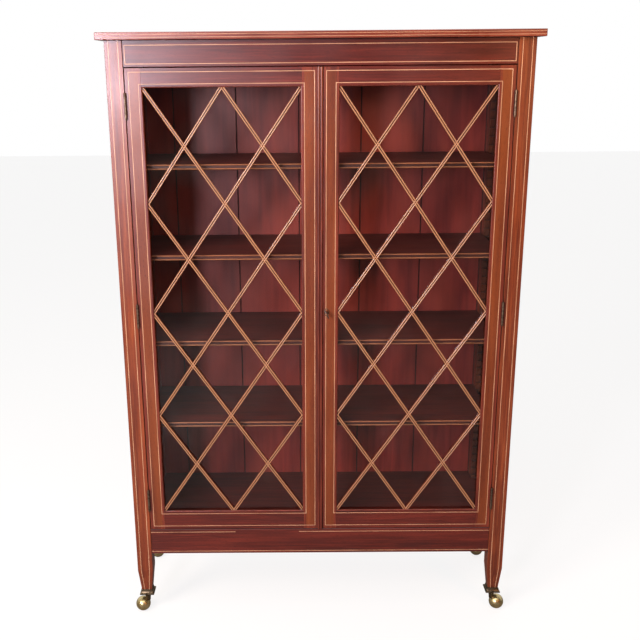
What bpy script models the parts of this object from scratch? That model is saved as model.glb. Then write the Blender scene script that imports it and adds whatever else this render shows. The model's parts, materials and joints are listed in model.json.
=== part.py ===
"""Edwardian style display bookcase: two glazed doors, four adjustable shelves, ball castors.

Units are metres, +Z is up, the doors face -Y and +X is to the viewer's right.
The origin is on the floor, in the middle of the bookcase's width and overall depth.
"""

import math

import bmesh
import bpy
from mathutils import Matrix, Vector

# ---------------------------------------------------------------- driving dimensions

CASE_WIDTH = 1.070            # outside of the legs, side to side
CASE_DEPTH = 0.340            # outside of the legs, front to back
TOTAL_HEIGHT = 1.650          # floor to the top board's upper face
FIT_GAP = 0.0003              # left between pieces that are glued or rest on each other
SMALLEST_EDGE = 0.00001       # points closer than this are one point
SHARP_ANGLE = math.radians(40)

TOP_THICKNESS = 0.018
TOP_SIDE_OVERHANG = 0.019
TOP_FRONT_OVERHANG = 0.018
TOP_EDGE_ROUND = 0.0015

LEG_SIZE = 0.044
FOOT_SIZE = 0.030
TAPER_LENGTH = 0.068
EDGE_ROUND = 0.0008           # worn arris on legs, rails and boards

FRIEZE_HEIGHT = 0.064
FRIEZE_THICKNESS = 0.020
APRON_BOTTOM = 0.201          # floor to the underside of the apron
APRON_HEIGHT = 0.078
APRON_THICKNESS = 0.020
RAIL_SETBACK = 0.0015         # rails stand this far behind the legs' faces

PANEL_THICKNESS = 0.012
BOTTOM_THICKNESS = 0.018
BOTTOM_RISE = 0.021           # bottom board's upper face above the apron
BACK_THICKNESS = 0.009
BACK_RECESS = 0.0035          # back boards stand this far inside the legs' back faces
BACK_BOARD_WIDTH = 0.181
GROOVE_WIDTH = 0.004
GROOVE_DEPTH = 0.002

DOOR_THICKNESS = 0.022
DOOR_SETBACK = 0.001
DOOR_END_GAP = 0.0025         # above and below a door
HINGE_GAP = 0.002             # between a door and its leg
MEETING_GAP = 0.0015
DOOR_CLEARANCE = 0.0025       # behind a closed door
STILE_WIDTH = 0.040
TOP_RAIL_HEIGHT = 0.045
BOTTOM_RAIL_HEIGHT = 0.0545
SIGHT_FROM_CENTRE = 0.046     # centre line to each door's glass opening
REBATE_WIDTH = 0.008
LIP_THICKNESS = 0.011         # wood in front of the glass
GLASS_THICKNESS = 0.003
GLASS_PLAY = 0.001

BEAD_WIDTH = 0.014            # double bead on the left door's meeting edge
BEAD_PROUD = 0.004
BEAD_FILLET = 0.0006          # square step under the bead's rounds
BEAD_STEPS = 4
QUIRK_SHARE = 0.2             # bottom of the quirk between two beads, as a share of their rise

BAR_WIDTH = 0.0095
BAR_DEPTH = 0.008
BAR_SETBACK = 0.003           # bars stand this far behind the door's face
LOZENGE_ROWS = 4

HINGE_LENGTH = 0.064
HINGE_INSET = 0.093           # door's end to the middle of its outer hinge
KNUCKLE_RADIUS = 0.003
KNUCKLE_PROUD = 0.0032        # pin centre in front of the legs' faces
LEAF_THICKNESS = 0.0008
LEAF_REACH = 0.018
KNUCKLE_SIDES = 16

SHELF_COUNT = 4
SHELF_THICKNESS = 0.015
SHELF_SETBACK = 0.033         # leg face to the shelf's front edge
SHELF_BACK_GAP = 0.003
SHELF_SIDE_GAP = 0.0017
REED_STEPS = 4

NOTCH_PITCH = 0.0241
RACK_TOP_GAP = 0.040          # at least this far below the frieze
FIRST_NOTCH = 0.008           # bottom board to the lowest ledge
BOTTOM_EXTRA_NOTCHES = 1      # the bottom space is this many notches taller
NOTCH_DEPTH = 0.007
RACK_WIDTH = 0.018
BEARER_HEIGHT = 0.012
BEARER_REACH = 0.010          # bearer under the shelf's end
BEARER_PLAY = 0.0005

WHEEL_RADIUS = 0.0215
WHEEL_TILT = math.radians(30)
WHEEL_GAP = 0.0004
WHEEL_SEGMENTS = 24
TRAIL = 0.016                 # swivel axis to the wheel's centre
AXLE_RADIUS = 0.003
AXLE_LENGTH = 0.012
AXLE_PLAY = 0.0003
STEM_TOP_RADIUS = 0.010
STEM_BASE_RADIUS = 0.0065
PLATE_SIZE = 0.042
PLATE_THICKNESS = 0.003
PLATE_HEIGHT = 0.062          # floor to the underside of the castor's plate
SOCKET_HEIGHT = 0.0122        # flared socket above the plate

LOCK_HEIGHT = 0.930           # key's axis above the floor
KEY_BACKSET = 0.009           # meeting edge to the key's axis
KEY_REACH = 0.028             # key's bow in front of the legs' faces
KEY_SHANK_RADIUS = 0.0018
KEYHOLE_RADIUS = 0.0032
KEY_BOW_WIDTH = 0.017
KEY_BOW_HEIGHT = 0.026
KEY_WIRE_RADIUS = 0.0017
KEY_BOW_STEPS = 20
KEY_BIT_LENGTH = 0.0075
KEY_BIT_WIDTH = 0.0035
KEY_BIT_THICKNESS = 0.0014
KEY_TURN = math.radians(-25)  # the bow's lean from upright, as it is left in the lock

LOCK_BOLT_LENGTH = 0.020
LOCK_BOLT_HEIGHT = 0.012
LOCK_BOLT_THICKNESS = 0.004
LOCK_BOLT_RISE = 0.0045       # key's axis to the bolt's lower edge
LOCK_BOLT_DEPTH = 0.0095      # door's face to the bolt's front face
LOCK_BOLT_SETBACK = 0.0015    # bolt's nose behind the door's edge when drawn back
LOCK_THROW = 0.006
LOCK_PLAY = 0.001
MORTISE_WIDTH = 0.026
MORTISE_BELOW_KEY = 0.012

DOOR_BOLT_LENGTH = 0.070
DOOR_BOLT_WIDTH = 0.009
DOOR_BOLT_THICKNESS = 0.004
DOOR_BOLT_KNOB = 0.0035
DOOR_BOLT_DROP = 0.002        # bolt's end below the door's top when drawn back

# ---------------------------------------------------------------- places that follow

HALF_WIDTH = CASE_WIDTH / 2
FRONT = -(CASE_DEPTH - KEY_REACH) / 2
BACK = FRONT + CASE_DEPTH
LEG_INNER = HALF_WIDTH - LEG_SIZE
LEG_MIDDLE = HALF_WIDTH - LEG_SIZE / 2

FOOT_HEIGHT = PLATE_HEIGHT + PLATE_THICKNESS + SOCKET_HEIGHT + FIT_GAP
CASE_TOP = TOTAL_HEIGHT - TOP_THICKNESS - FIT_GAP
FRIEZE_BOTTOM = CASE_TOP - FRIEZE_HEIGHT
APRON_TOP = APRON_BOTTOM + APRON_HEIGHT

PANEL_MIDDLE = LEG_MIDDLE
PANEL_INNER = PANEL_MIDDLE - PANEL_THICKNESS / 2
BACK_FACE = BACK - BACK_RECESS - BACK_THICKNESS
BOTTOM_TOP = APRON_TOP + BOTTOM_RISE

DOOR_FRONT = FRONT + DOOR_SETBACK
DOOR_BACK = DOOR_FRONT + DOOR_THICKNESS
DOOR_OUTER = LEG_INNER - HINGE_GAP
DOOR_BOTTOM = APRON_TOP + DOOR_END_GAP
DOOR_TOP = FRIEZE_BOTTOM - DOOR_END_GAP
MEETING_LEFT = BEAD_WIDTH / 2
MEETING_RIGHT = MEETING_LEFT + MEETING_GAP
SIGHT_OUTER = DOOR_OUTER - STILE_WIDTH
SIGHT_BOTTOM = DOOR_BOTTOM + BOTTOM_RAIL_HEIGHT
SIGHT_TOP = DOOR_TOP - TOP_RAIL_HEIGHT
REBATE_FRONT = DOOR_FRONT + LIP_THICKNESS

SHELF_FRONT = FRONT + SHELF_SETBACK
SHELF_BACK = BACK_FACE - SHELF_BACK_GAP
SHELF_HALF = LEG_INNER - SHELF_SIDE_GAP

RACK_BOTTOM = BOTTOM_TOP + FIT_GAP
RACK_REACH = FRIEZE_BOTTOM - RACK_TOP_GAP - RACK_BOTTOM
NOTCH_COUNT = int((RACK_REACH - FIRST_NOTCH) / NOTCH_PITCH)
NOTCHES_PER_SHELF = NOTCH_COUNT // (SHELF_COUNT + 1)
LOWEST_SHELF_NOTCH = NOTCHES_PER_SHELF + BOTTOM_EXTRA_NOTCHES
RACK_INNER = LEG_INNER
RACK_OUTER = PANEL_INNER - FIT_GAP
FRONT_RACK = FRONT + LEG_SIZE + FIT_GAP
BACK_RACK = BACK - LEG_SIZE - FIT_GAP

KEY_X = MEETING_RIGHT + KEY_BACKSET
LOCK_BOLT_FRONT = DOOR_FRONT + LOCK_BOLT_DEPTH
LOCK_BOLT_BOTTOM = LOCK_HEIGHT + LOCK_BOLT_RISE

# ---------------------------------------------------------------- scene helpers


def clear_scene():
    for item in list(bpy.data.objects):
        bpy.data.objects.remove(item, do_unlink=True)


def new_collection(name):
    group = bpy.data.collections.new(name)
    bpy.context.scene.collection.children.link(group)
    return group


def new_material(name, colour, roughness, metallic=0.0, alpha=1.0):
    material = bpy.data.materials.new(name)
    material.use_nodes = True
    shader = material.node_tree.nodes["Principled BSDF"]
    shader.inputs["Base Color"].default_value = (*colour, 1.0)
    shader.inputs["Roughness"].default_value = roughness
    shader.inputs["Metallic"].default_value = metallic
    shader.inputs["Alpha"].default_value = alpha
    return material


clear_scene()
PARTS = new_collection("display_bookcase")
CUTTERS = new_collection("cutters")


def add_mesh_object(name, shape, material, group=PARTS):
    """Turn a bmesh into a named object and free the bmesh."""
    mesh = bpy.data.meshes.new(name)
    shape.to_mesh(mesh)
    shape.free()
    mesh.materials.append(material)
    item = bpy.data.objects.new(name, mesh)
    group.objects.link(item)
    return item


def round_edges(item, width, segments=1):
    bevel = item.modifiers.new("worn_edges", "BEVEL")
    bevel.width = width
    bevel.segments = segments
    bevel.limit_method = "ANGLE"
    bevel.angle_limit = SHARP_ANGLE


def box_shape(low, high):
    """A closed box between two corners."""
    shape = bmesh.new()
    bmesh.ops.create_cube(shape, size=1.0)
    low, high = Vector(low), Vector(high)
    size = high - low
    middle = (low + high) / 2
    placed = Matrix.Translation(middle) @ Matrix.Diagonal((*size, 1.0))
    bmesh.ops.transform(shape, matrix=placed, verts=shape.verts)
    return shape


def box(name, low, high, material, edge=0.0):
    item = add_mesh_object(name, box_shape(low, high), material)
    if edge:
        round_edges(item, edge)
    return item


def stepped_block(name, sections, centre, material):
    """A square block whose side changes with height; sections are (height, side) from below."""
    (bottom, first), (second_height, second) = sections[:2]
    shape = bmesh.new()
    bmesh.ops.create_cube(shape, size=1.0)
    for vertex in shape.verts:
        low = vertex.co.z < 0
        side = first if low else second
        vertex.co.x *= side
        vertex.co.y *= side
        vertex.co.z = bottom if low else second_height
    for (_, before), (height, side) in zip(sections[1:], sections[2:]):
        shape.faces.ensure_lookup_table()
        top = max(shape.faces, key=lambda face: face.calc_center_median().z)
        grown = bmesh.ops.extrude_discrete_faces(shape, faces=[top])["faces"][0]
        for vertex in grown.verts:
            vertex.co.x *= side / before
            vertex.co.y *= side / before
            vertex.co.z = height
    bmesh.ops.translate(shape, vec=(*centre, 0.0), verts=shape.verts)
    return add_mesh_object(name, shape, material)


ALONG_X = (math.radians(90), 0.0, math.radians(90))   # outline (y, z), drawn out along x
ALONG_Z = (0.0, 0.0, 0.0)                             # outline (x, y), drawn out along z


def outline(name, points, start, end, turned, material, group=PARTS):
    """A flat closed outline drawn out from start to end along X or Z."""
    curve = bpy.data.curves.new(name, "CURVE")
    curve.dimensions = "2D"
    curve.fill_mode = "BOTH"
    curve.extrude = (end - start) / 2
    spline = curve.splines.new("POLY")
    spline.points.add(len(points) - 1)
    for point, (a, b) in zip(spline.points, points):
        point.co = (a, b, 0.0, 1.0)
    spline.use_cyclic_u = True
    curve.materials.append(material)
    item = bpy.data.objects.new(name, curve)
    item.rotation_euler = turned
    middle = (start + end) / 2
    item.location = (middle, 0.0, 0.0) if turned == ALONG_X else (0.0, 0.0, middle)
    group.objects.link(item)
    return item


def as_mesh(item, material, group=PARTS):
    """Replace a curve object by the welded mesh it makes, so that it can be cut or joined."""
    bpy.context.view_layer.update()
    evaluated = item.evaluated_get(bpy.context.evaluated_depsgraph_get())
    mesh = bpy.data.meshes.new_from_object(evaluated)
    placed = item.matrix_world.copy()
    name = item.name
    bpy.data.objects.remove(item, do_unlink=True)
    shape = bmesh.new()
    shape.from_mesh(mesh)
    bmesh.ops.remove_doubles(shape, verts=shape.verts, dist=SMALLEST_EDGE)
    solid = add_mesh_object(name, shape, material, group)
    solid.matrix_world = placed
    return solid


def hide_cutter(item):
    item.hide_render = True
    item.display_type = "WIRE"
    return item


def combine(item, other, operation):
    """Cut, join or intersect an object with a hidden cutter."""
    boolean = item.modifiers.new(operation.lower() + "_" + other.name, "BOOLEAN")
    boolean.operation = operation
    boolean.solver = "EXACT"
    boolean.object = hide_cutter(other)


def box_cutter(name, low, high, material):
    return add_mesh_object(name, box_shape(low, high), material, CUTTERS)


def rod_shape(start, end, radius, sides, end_radius=None):
    """A closed cylinder or cone frustum between two points."""
    start, end = Vector(start), Vector(end)
    along = end - start
    shape = bmesh.new()
    bmesh.ops.create_cone(
        shape,
        cap_ends=True,
        segments=sides,
        radius1=radius,
        radius2=radius if end_radius is None else end_radius,
        depth=along.length,
    )
    turned = along.to_track_quat("Z", "Y").to_matrix().to_4x4()
    placed = Matrix.Translation((start + end) / 2) @ turned
    bmesh.ops.transform(shape, matrix=placed, verts=shape.verts)
    return shape


def half_rounds(start, end, front, proud, count, steps):
    """Points of count half rounds side by side from start to end, standing proud of front."""
    width = (end - start) / count
    points = [(start, front)]
    for index in range(count):
        middle = start + width * (index + 0.5)
        for step in range(1, steps):
            angle = math.pi * step / steps
            across = middle - width / 2 * math.cos(angle)
            points.append((across, front - proud * math.sin(angle)))
        if index < count - 1:
            points.append((middle + width / 2, front - proud * QUIRK_SHARE))
    points.append((end, front))
    return points


# ---------------------------------------------------------------- materials

MAHOGANY = new_material("mahogany", (0.22, 0.055, 0.030), 0.32)
BACK_PINE = new_material("stained_back_boards", (0.16, 0.030, 0.024), 0.55)
SHELF_WOOD = new_material("stained_shelves", (0.12, 0.040, 0.026), 0.45)
RACK_WOOD = new_material("beech_racks", (0.20, 0.080, 0.045), 0.55)
LATTICE_WOOD = new_material("satinwood_bars", (0.42, 0.17, 0.060), 0.38)
GLASS = new_material("window_glass", (0.80, 0.84, 0.82), 0.04, alpha=0.25)
BRASS = new_material("polished_brass", (0.62, 0.46, 0.20), 0.25, metallic=1.0)
BRONZE = new_material("dark_bronze", (0.12, 0.09, 0.06), 0.45, metallic=1.0)
STEEL = new_material("aged_steel", (0.30, 0.27, 0.26), 0.40, metallic=1.0)

# ---------------------------------------------------------------- carcase


def make_top_board():
    overhang_x = HALF_WIDTH + TOP_SIDE_OVERHANG
    board = box(
        "top_board",
        (-overhang_x, FRONT - TOP_FRONT_OVERHANG, TOTAL_HEIGHT - TOP_THICKNESS),
        (overhang_x, BACK, TOTAL_HEIGHT),
        MAHOGANY,
    )
    round_edges(board, TOP_EDGE_ROUND, segments=2)


def make_legs():
    """Square posts that run the full height and taper to a foot below the apron."""
    sections = [
        (FOOT_HEIGHT, FOOT_SIZE),
        (FOOT_HEIGHT + TAPER_LENGTH, LEG_SIZE),
        (CASE_TOP, LEG_SIZE),
    ]
    for side, x in (("left", -LEG_MIDDLE), ("right", LEG_MIDDLE)):
        for end, y in (("front", FRONT + LEG_SIZE / 2), ("back", BACK - LEG_SIZE / 2)):
            leg = stepped_block(side + "_" + end + "_leg", sections, (x, y), MAHOGANY)
            round_edges(leg, EDGE_ROUND)


def make_rails():
    front = FRONT + RAIL_SETBACK
    reach = LEG_INNER - FIT_GAP
    box(
        "frieze_rail",
        (-reach, front, FRIEZE_BOTTOM),
        (reach, front + FRIEZE_THICKNESS, CASE_TOP),
        MAHOGANY,
        EDGE_ROUND,
    )
    box(
        "apron_rail",
        (-reach, front, APRON_BOTTOM),
        (reach, front + APRON_THICKNESS, APRON_TOP),
        MAHOGANY,
        EDGE_ROUND,
    )


def make_side_panels():
    near = FRONT + LEG_SIZE + FIT_GAP
    far = BACK - LEG_SIZE - FIT_GAP
    half = PANEL_THICKNESS / 2
    for side, x in (("left", -PANEL_MIDDLE), ("right", PANEL_MIDDLE)):
        box(
            side + "_side_panel",
            (x - half, near, APRON_BOTTOM),
            (x + half, far, CASE_TOP),
            MAHOGANY,
            EDGE_ROUND,
        )


def make_bottom_board():
    """Fills the case between the panels, behind the doors, notched round the four legs."""
    near = DOOR_BACK + DOOR_CLEARANCE
    far = BACK_FACE - FIT_GAP
    wide = PANEL_INNER - FIT_GAP
    narrow = LEG_INNER - FIT_GAP
    near_notch = FRONT + LEG_SIZE + FIT_GAP
    far_notch = BACK - LEG_SIZE - FIT_GAP
    right_side = [
        (narrow, near),
        (narrow, near_notch),
        (wide, near_notch),
        (wide, far_notch),
        (narrow, far_notch),
        (narrow, far),
    ]
    left_side = [(-x, y) for x, y in reversed(right_side)]
    outline(
        "bottom_board",
        right_side + left_side,
        BOTTOM_TOP - BOTTOM_THICKNESS,
        BOTTOM_TOP,
        ALONG_Z,
        SHELF_WOOD,
    )


def make_back_boards():
    """Upright boards glued edge to edge, with a V groove at each joint."""
    reach = LEG_INNER - FIT_GAP
    front_edge = [(reach, BACK_FACE)]
    groove = reach - BACK_BOARD_WIDTH
    while groove > -reach + GROOVE_WIDTH:
        front_edge.append((groove + GROOVE_WIDTH / 2, BACK_FACE))
        front_edge.append((groove, BACK_FACE + GROOVE_DEPTH))
        front_edge.append((groove - GROOVE_WIDTH / 2, BACK_FACE))
        groove -= BACK_BOARD_WIDTH
    front_edge.append((-reach, BACK_FACE))
    rear = BACK_FACE + BACK_THICKNESS
    points = front_edge + [(-reach, rear), (reach, rear)]
    outline("back_boards", points, APRON_BOTTOM, CASE_TOP, ALONG_Z, BACK_PINE)


# ---------------------------------------------------------------- shelves and racks


def ledge_height(notch):
    return RACK_BOTTOM + FIRST_NOTCH + notch * NOTCH_PITCH


def make_rack(name, x_low, x_high, plain_edge, direction):
    """A strip with ratchet notches cut in the edge that faces direction along Y."""
    toothed = plain_edge + direction * RACK_WIDTH
    sunk = toothed - direction * NOTCH_DEPTH
    points = [(plain_edge, RACK_BOTTOM), (toothed, RACK_BOTTOM)]
    for notch in range(NOTCH_COUNT):
        ledge = ledge_height(notch)
        points.append((toothed, ledge))
        points.append((sunk, ledge))
    top = ledge_height(NOTCH_COUNT)
    points.append((toothed, top))
    points.append((plain_edge, top))
    outline(name, points, x_low, x_high, ALONG_X, RACK_WOOD)


def make_racks():
    for side, x_low, x_high in (
        ("left", -RACK_OUTER, -RACK_INNER),
        ("right", RACK_INNER, RACK_OUTER),
    ):
        make_rack("rack_" + side + "_front", x_low, x_high, FRONT_RACK, 1)
        make_rack("rack_" + side + "_back", x_low, x_high, BACK_RACK, -1)


def bearer_outline(ledge):
    """Side view of a bearer whose slanted ends sit in two facing notches."""
    low = ledge + FIT_GAP
    high = low + BEARER_HEIGHT
    near_edge = FRONT_RACK + RACK_WIDTH
    far_edge = BACK_RACK - RACK_WIDTH
    bite_low = NOTCH_DEPTH - BEARER_PLAY
    bite_high = NOTCH_DEPTH * (1 - (high - ledge) / NOTCH_PITCH) - BEARER_PLAY
    return [
        (near_edge - bite_low, low),
        (far_edge + bite_low, low),
        (far_edge + bite_high, high),
        (near_edge - bite_high, high),
    ]


def shelf_outline(bottom):
    """Side view of a shelf whose front edge is worked into two reeds."""
    top = bottom + SHELF_THICKNESS
    reed = SHELF_THICKNESS / 4
    reeds = half_rounds(bottom, top, SHELF_FRONT + reed, reed, 2, REED_STEPS)
    front_edge = [(y, z) for z, y in reversed(reeds)]
    return front_edge + [(SHELF_BACK, bottom), (SHELF_BACK, top)]


def make_shelves():
    """Shelf 1 is the top one; each rests on a left and a right bearer."""
    inner = SHELF_HALF - BEARER_REACH
    outer = PANEL_INNER - FIT_GAP
    for number in range(1, SHELF_COUNT + 1):
        notch = LOWEST_SHELF_NOTCH + (SHELF_COUNT - number) * NOTCHES_PER_SHELF
        ledge = ledge_height(notch)
        side_view = bearer_outline(ledge)
        outline("bearer_left_%d" % number, side_view, -outer, -inner, ALONG_X, RACK_WOOD)
        outline("bearer_right_%d" % number, side_view, inner, outer, ALONG_X, RACK_WOOD)
        bottom = ledge + FIT_GAP + BEARER_HEIGHT + FIT_GAP
        outline(
            "shelf_%d" % number,
            shelf_outline(bottom),
            -SHELF_HALF,
            SHELF_HALF,
            ALONG_X,
            SHELF_WOOD,
        )


# ---------------------------------------------------------------- doors


def stile_outline(outer, sight):
    """Plan of a door stile: full width in front, rebated for the glass behind."""
    inward = 1 if sight > outer else -1
    rebate = sight - inward * REBATE_WIDTH
    return [
        (outer, DOOR_FRONT),
        (sight, DOOR_FRONT),
        (sight, REBATE_FRONT),
        (rebate, REBATE_FRONT),
        (rebate, DOOR_BACK),
        (outer, DOOR_BACK),
    ]


def make_hinge_stile(side, sign):
    plan = stile_outline(sign * DOOR_OUTER, sign * SIGHT_OUTER)
    outline(side + "_door_hinge_stile", plan, DOOR_BOTTOM, DOOR_TOP, ALONG_Z, MAHOGANY)


def make_left_meeting_stile():
    """Carries the double bead that closes the gap, and the slot for the lock's bolt."""
    plan = stile_outline(MEETING_LEFT, -SIGHT_FROM_CENTRE)
    fillet = DOOR_FRONT - BEAD_FILLET
    rise = BEAD_PROUD - BEAD_FILLET
    bead = half_rounds(-MEETING_LEFT, MEETING_LEFT, fillet, rise, 2, BEAD_STEPS)
    points = list(reversed(bead)) + [(-MEETING_LEFT, DOOR_FRONT)] + plan[1:]
    stile = outline("left_door_meeting_stile", points, DOOR_BOTTOM, DOOR_TOP, ALONG_Z, MAHOGANY)
    stile = as_mesh(stile, MAHOGANY)
    drawn_nose = MEETING_RIGHT + LOCK_BOLT_SETBACK
    slot = box_cutter(
        "lock_bolt_slot",
        (
            drawn_nose - LOCK_THROW - LOCK_PLAY,
            LOCK_BOLT_FRONT - LOCK_PLAY,
            LOCK_BOLT_BOTTOM - LOCK_PLAY,
        ),
        (
            MEETING_LEFT + LOCK_PLAY,
            LOCK_BOLT_FRONT + LOCK_BOLT_THICKNESS + LOCK_PLAY,
            LOCK_BOLT_BOTTOM + LOCK_BOLT_HEIGHT + LOCK_PLAY,
        ),
        MAHOGANY,
    )
    combine(stile, slot, "DIFFERENCE")


def make_right_meeting_stile():
    """Mortised from behind for the lock, with a keyhole through to the face."""
    plan = stile_outline(MEETING_RIGHT, SIGHT_FROM_CENTRE)
    stile = outline("right_door_meeting_stile", plan, DOOR_BOTTOM, DOOR_TOP, ALONG_Z, MAHOGANY)
    stile = as_mesh(stile, MAHOGANY)
    mortise = box_cutter(
        "lock_mortise",
        (
            MEETING_RIGHT - LOCK_PLAY,
            LOCK_BOLT_FRONT - LOCK_PLAY,
            LOCK_HEIGHT - MORTISE_BELOW_KEY,
        ),
        (
            MEETING_RIGHT + MORTISE_WIDTH,
            DOOR_BACK + LOCK_PLAY,
            LOCK_BOLT_BOTTOM + LOCK_BOLT_HEIGHT + LOCK_PLAY,
        ),
        MAHOGANY,
    )
    combine(stile, mortise, "DIFFERENCE")
    keyhole = add_mesh_object(
        "keyhole",
        rod_shape(
            (KEY_X, DOOR_FRONT - LOCK_PLAY, LOCK_HEIGHT),
            (KEY_X, LOCK_BOLT_FRONT + LOCK_PLAY, LOCK_HEIGHT),
            KEYHOLE_RADIUS,
            KNUCKLE_SIDES,
        ),
        MAHOGANY,
        CUTTERS,
    )
    combine(stile, keyhole, "DIFFERENCE")


def make_door_rail(name, x_low, x_high, low, high, sight_below):
    """A rail whose back half runs on into the stiles' rebates."""
    reach = REBATE_WIDTH - FIT_GAP
    rail = box(
        name,
        (x_low - reach, DOOR_FRONT, low),
        (x_high + reach, DOOR_BACK, high),
        MAHOGANY,
    )
    beyond = REBATE_WIDTH * 2
    if sight_below:
        rebate_low, rebate_high = low - beyond, low + REBATE_WIDTH
    else:
        rebate_low, rebate_high = high - REBATE_WIDTH, high + beyond
    rebate = box_cutter(
        name + "_rebate",
        (x_low - beyond, REBATE_FRONT, rebate_low),
        (x_high + beyond, DOOR_BACK + beyond, rebate_high),
        MAHOGANY,
    )
    combine(rail, rebate, "DIFFERENCE")
    shoulders = (
        ("_left_shoulder", x_low - beyond, x_low + FIT_GAP),
        ("_right_shoulder", x_high - FIT_GAP, x_high + beyond),
    )
    for suffix, start, end in shoulders:
        shoulder = box_cutter(
            name + suffix,
            (start, DOOR_FRONT - beyond, low - beyond),
            (end, REBATE_FRONT + FIT_GAP, high + beyond),
            MAHOGANY,
        )
        combine(rail, shoulder, "DIFFERENCE")


def make_lattice(name, x_low, x_high):
    """Two families of straight bars that cross as lozenges, let into each other."""
    width = x_high - x_low
    height = SIGHT_TOP - SIGHT_BOTTOM
    row = height / LOZENGE_ROWS
    rise = row * 2
    bar_front = DOOR_FRONT + BAR_SETBACK
    slope = math.atan2(rise, width)
    reach = math.hypot(width, rise) / 2 + BAR_WIDTH
    middle_x = (x_low + x_high) / 2
    bars = []
    for lean in (1, -1):
        for step in range(LOZENGE_ROWS + 1):
            middle_z = SIGHT_BOTTOM + row * step
            shape = box_shape(
                (-reach, bar_front, -BAR_WIDTH / 2),
                (reach, bar_front + BAR_DEPTH, BAR_WIDTH / 2),
            )
            turned = Matrix.Rotation(-lean * slope, 4, "Y")
            placed = Matrix.Translation((middle_x, 0.0, middle_z)) @ turned
            bmesh.ops.transform(shape, matrix=placed, verts=shape.verts)
            bar_name = "%s_bar_%d_%d" % (name, step, lean + 1)
            group = CUTTERS if bars else PARTS
            bars.append(add_mesh_object(bar_name, shape, LATTICE_WOOD, group))
    lattice = bars[0]
    lattice.name = name
    for bar in bars[1:]:
        combine(lattice, bar, "UNION")
    opening = box_cutter(
        name + "_opening",
        (x_low + FIT_GAP, bar_front - BAR_DEPTH, SIGHT_BOTTOM + FIT_GAP),
        (x_high - FIT_GAP, bar_front + 2 * BAR_DEPTH, SIGHT_TOP - FIT_GAP),
        LATTICE_WOOD,
    )
    combine(lattice, opening, "INTERSECT")


def make_glass(name, x_low, x_high):
    spread = REBATE_WIDTH - GLASS_PLAY
    front = REBATE_FRONT + FIT_GAP
    box(
        name,
        (x_low - spread, front, SIGHT_BOTTOM - spread),
        (x_high + spread, front + GLASS_THICKNESS, SIGHT_TOP + spread),
        GLASS,
    )


def make_hinges(side, sign):
    """The door's leaf and knuckle; the pin stands proud of the joint between door and leg."""
    pin_x = sign * (LEG_INNER - HINGE_GAP / 2)
    pin_y = FRONT - KNUCKLE_PROUD
    leaf_x = sign * (DOOR_OUTER + FIT_GAP)
    leaf_end = leaf_x + sign * LEAF_THICKNESS
    middles = (DOOR_TOP - HINGE_INSET, (DOOR_TOP + DOOR_BOTTOM) / 2, DOOR_BOTTOM + HINGE_INSET)
    for number, middle in enumerate(middles, start=1):
        low = middle - HINGE_LENGTH / 2
        high = middle + HINGE_LENGTH / 2
        name = "%s_hinge_%d" % (side, number)
        hinge = add_mesh_object(
            name,
            rod_shape((pin_x, pin_y, low), (pin_x, pin_y, high), KNUCKLE_RADIUS, KNUCKLE_SIDES),
            BRASS,
        )
        leaf = box_cutter(
            name + "_leaf",
            (min(leaf_x, leaf_end), pin_y, low + FIT_GAP),
            (max(leaf_x, leaf_end), FRONT + LEAF_REACH, high - FIT_GAP),
            BRASS,
        )
        combine(hinge, leaf, "UNION")


def make_doors():
    spans = (
        ("left", -1, -SIGHT_OUTER, -SIGHT_FROM_CENTRE),
        ("right", 1, SIGHT_FROM_CENTRE, SIGHT_OUTER),
    )
    for side, sign, x_low, x_high in spans:
        make_hinge_stile(side, sign)
        door = side + "_door"
        make_door_rail(door + "_top_rail", x_low, x_high, SIGHT_TOP, DOOR_TOP, True)
        make_door_rail(door + "_bottom_rail", x_low, x_high, DOOR_BOTTOM, SIGHT_BOTTOM, False)
        make_lattice(door + "_lattice", x_low, x_high)
        make_glass(door + "_glass", x_low, x_high)
        make_hinges(side, sign)
    make_left_meeting_stile()
    make_right_meeting_stile()


# ---------------------------------------------------------------- lock, key and bolt


def make_lock_bolt():
    nose = MEETING_RIGHT + LOCK_BOLT_SETBACK
    box(
        "lock_bolt",
        (nose, LOCK_BOLT_FRONT, LOCK_BOLT_BOTTOM),
        (
            nose + LOCK_BOLT_LENGTH,
            LOCK_BOLT_FRONT + LOCK_BOLT_THICKNESS,
            LOCK_BOLT_BOTTOM + LOCK_BOLT_HEIGHT,
        ),
        BRASS,
    )


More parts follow.
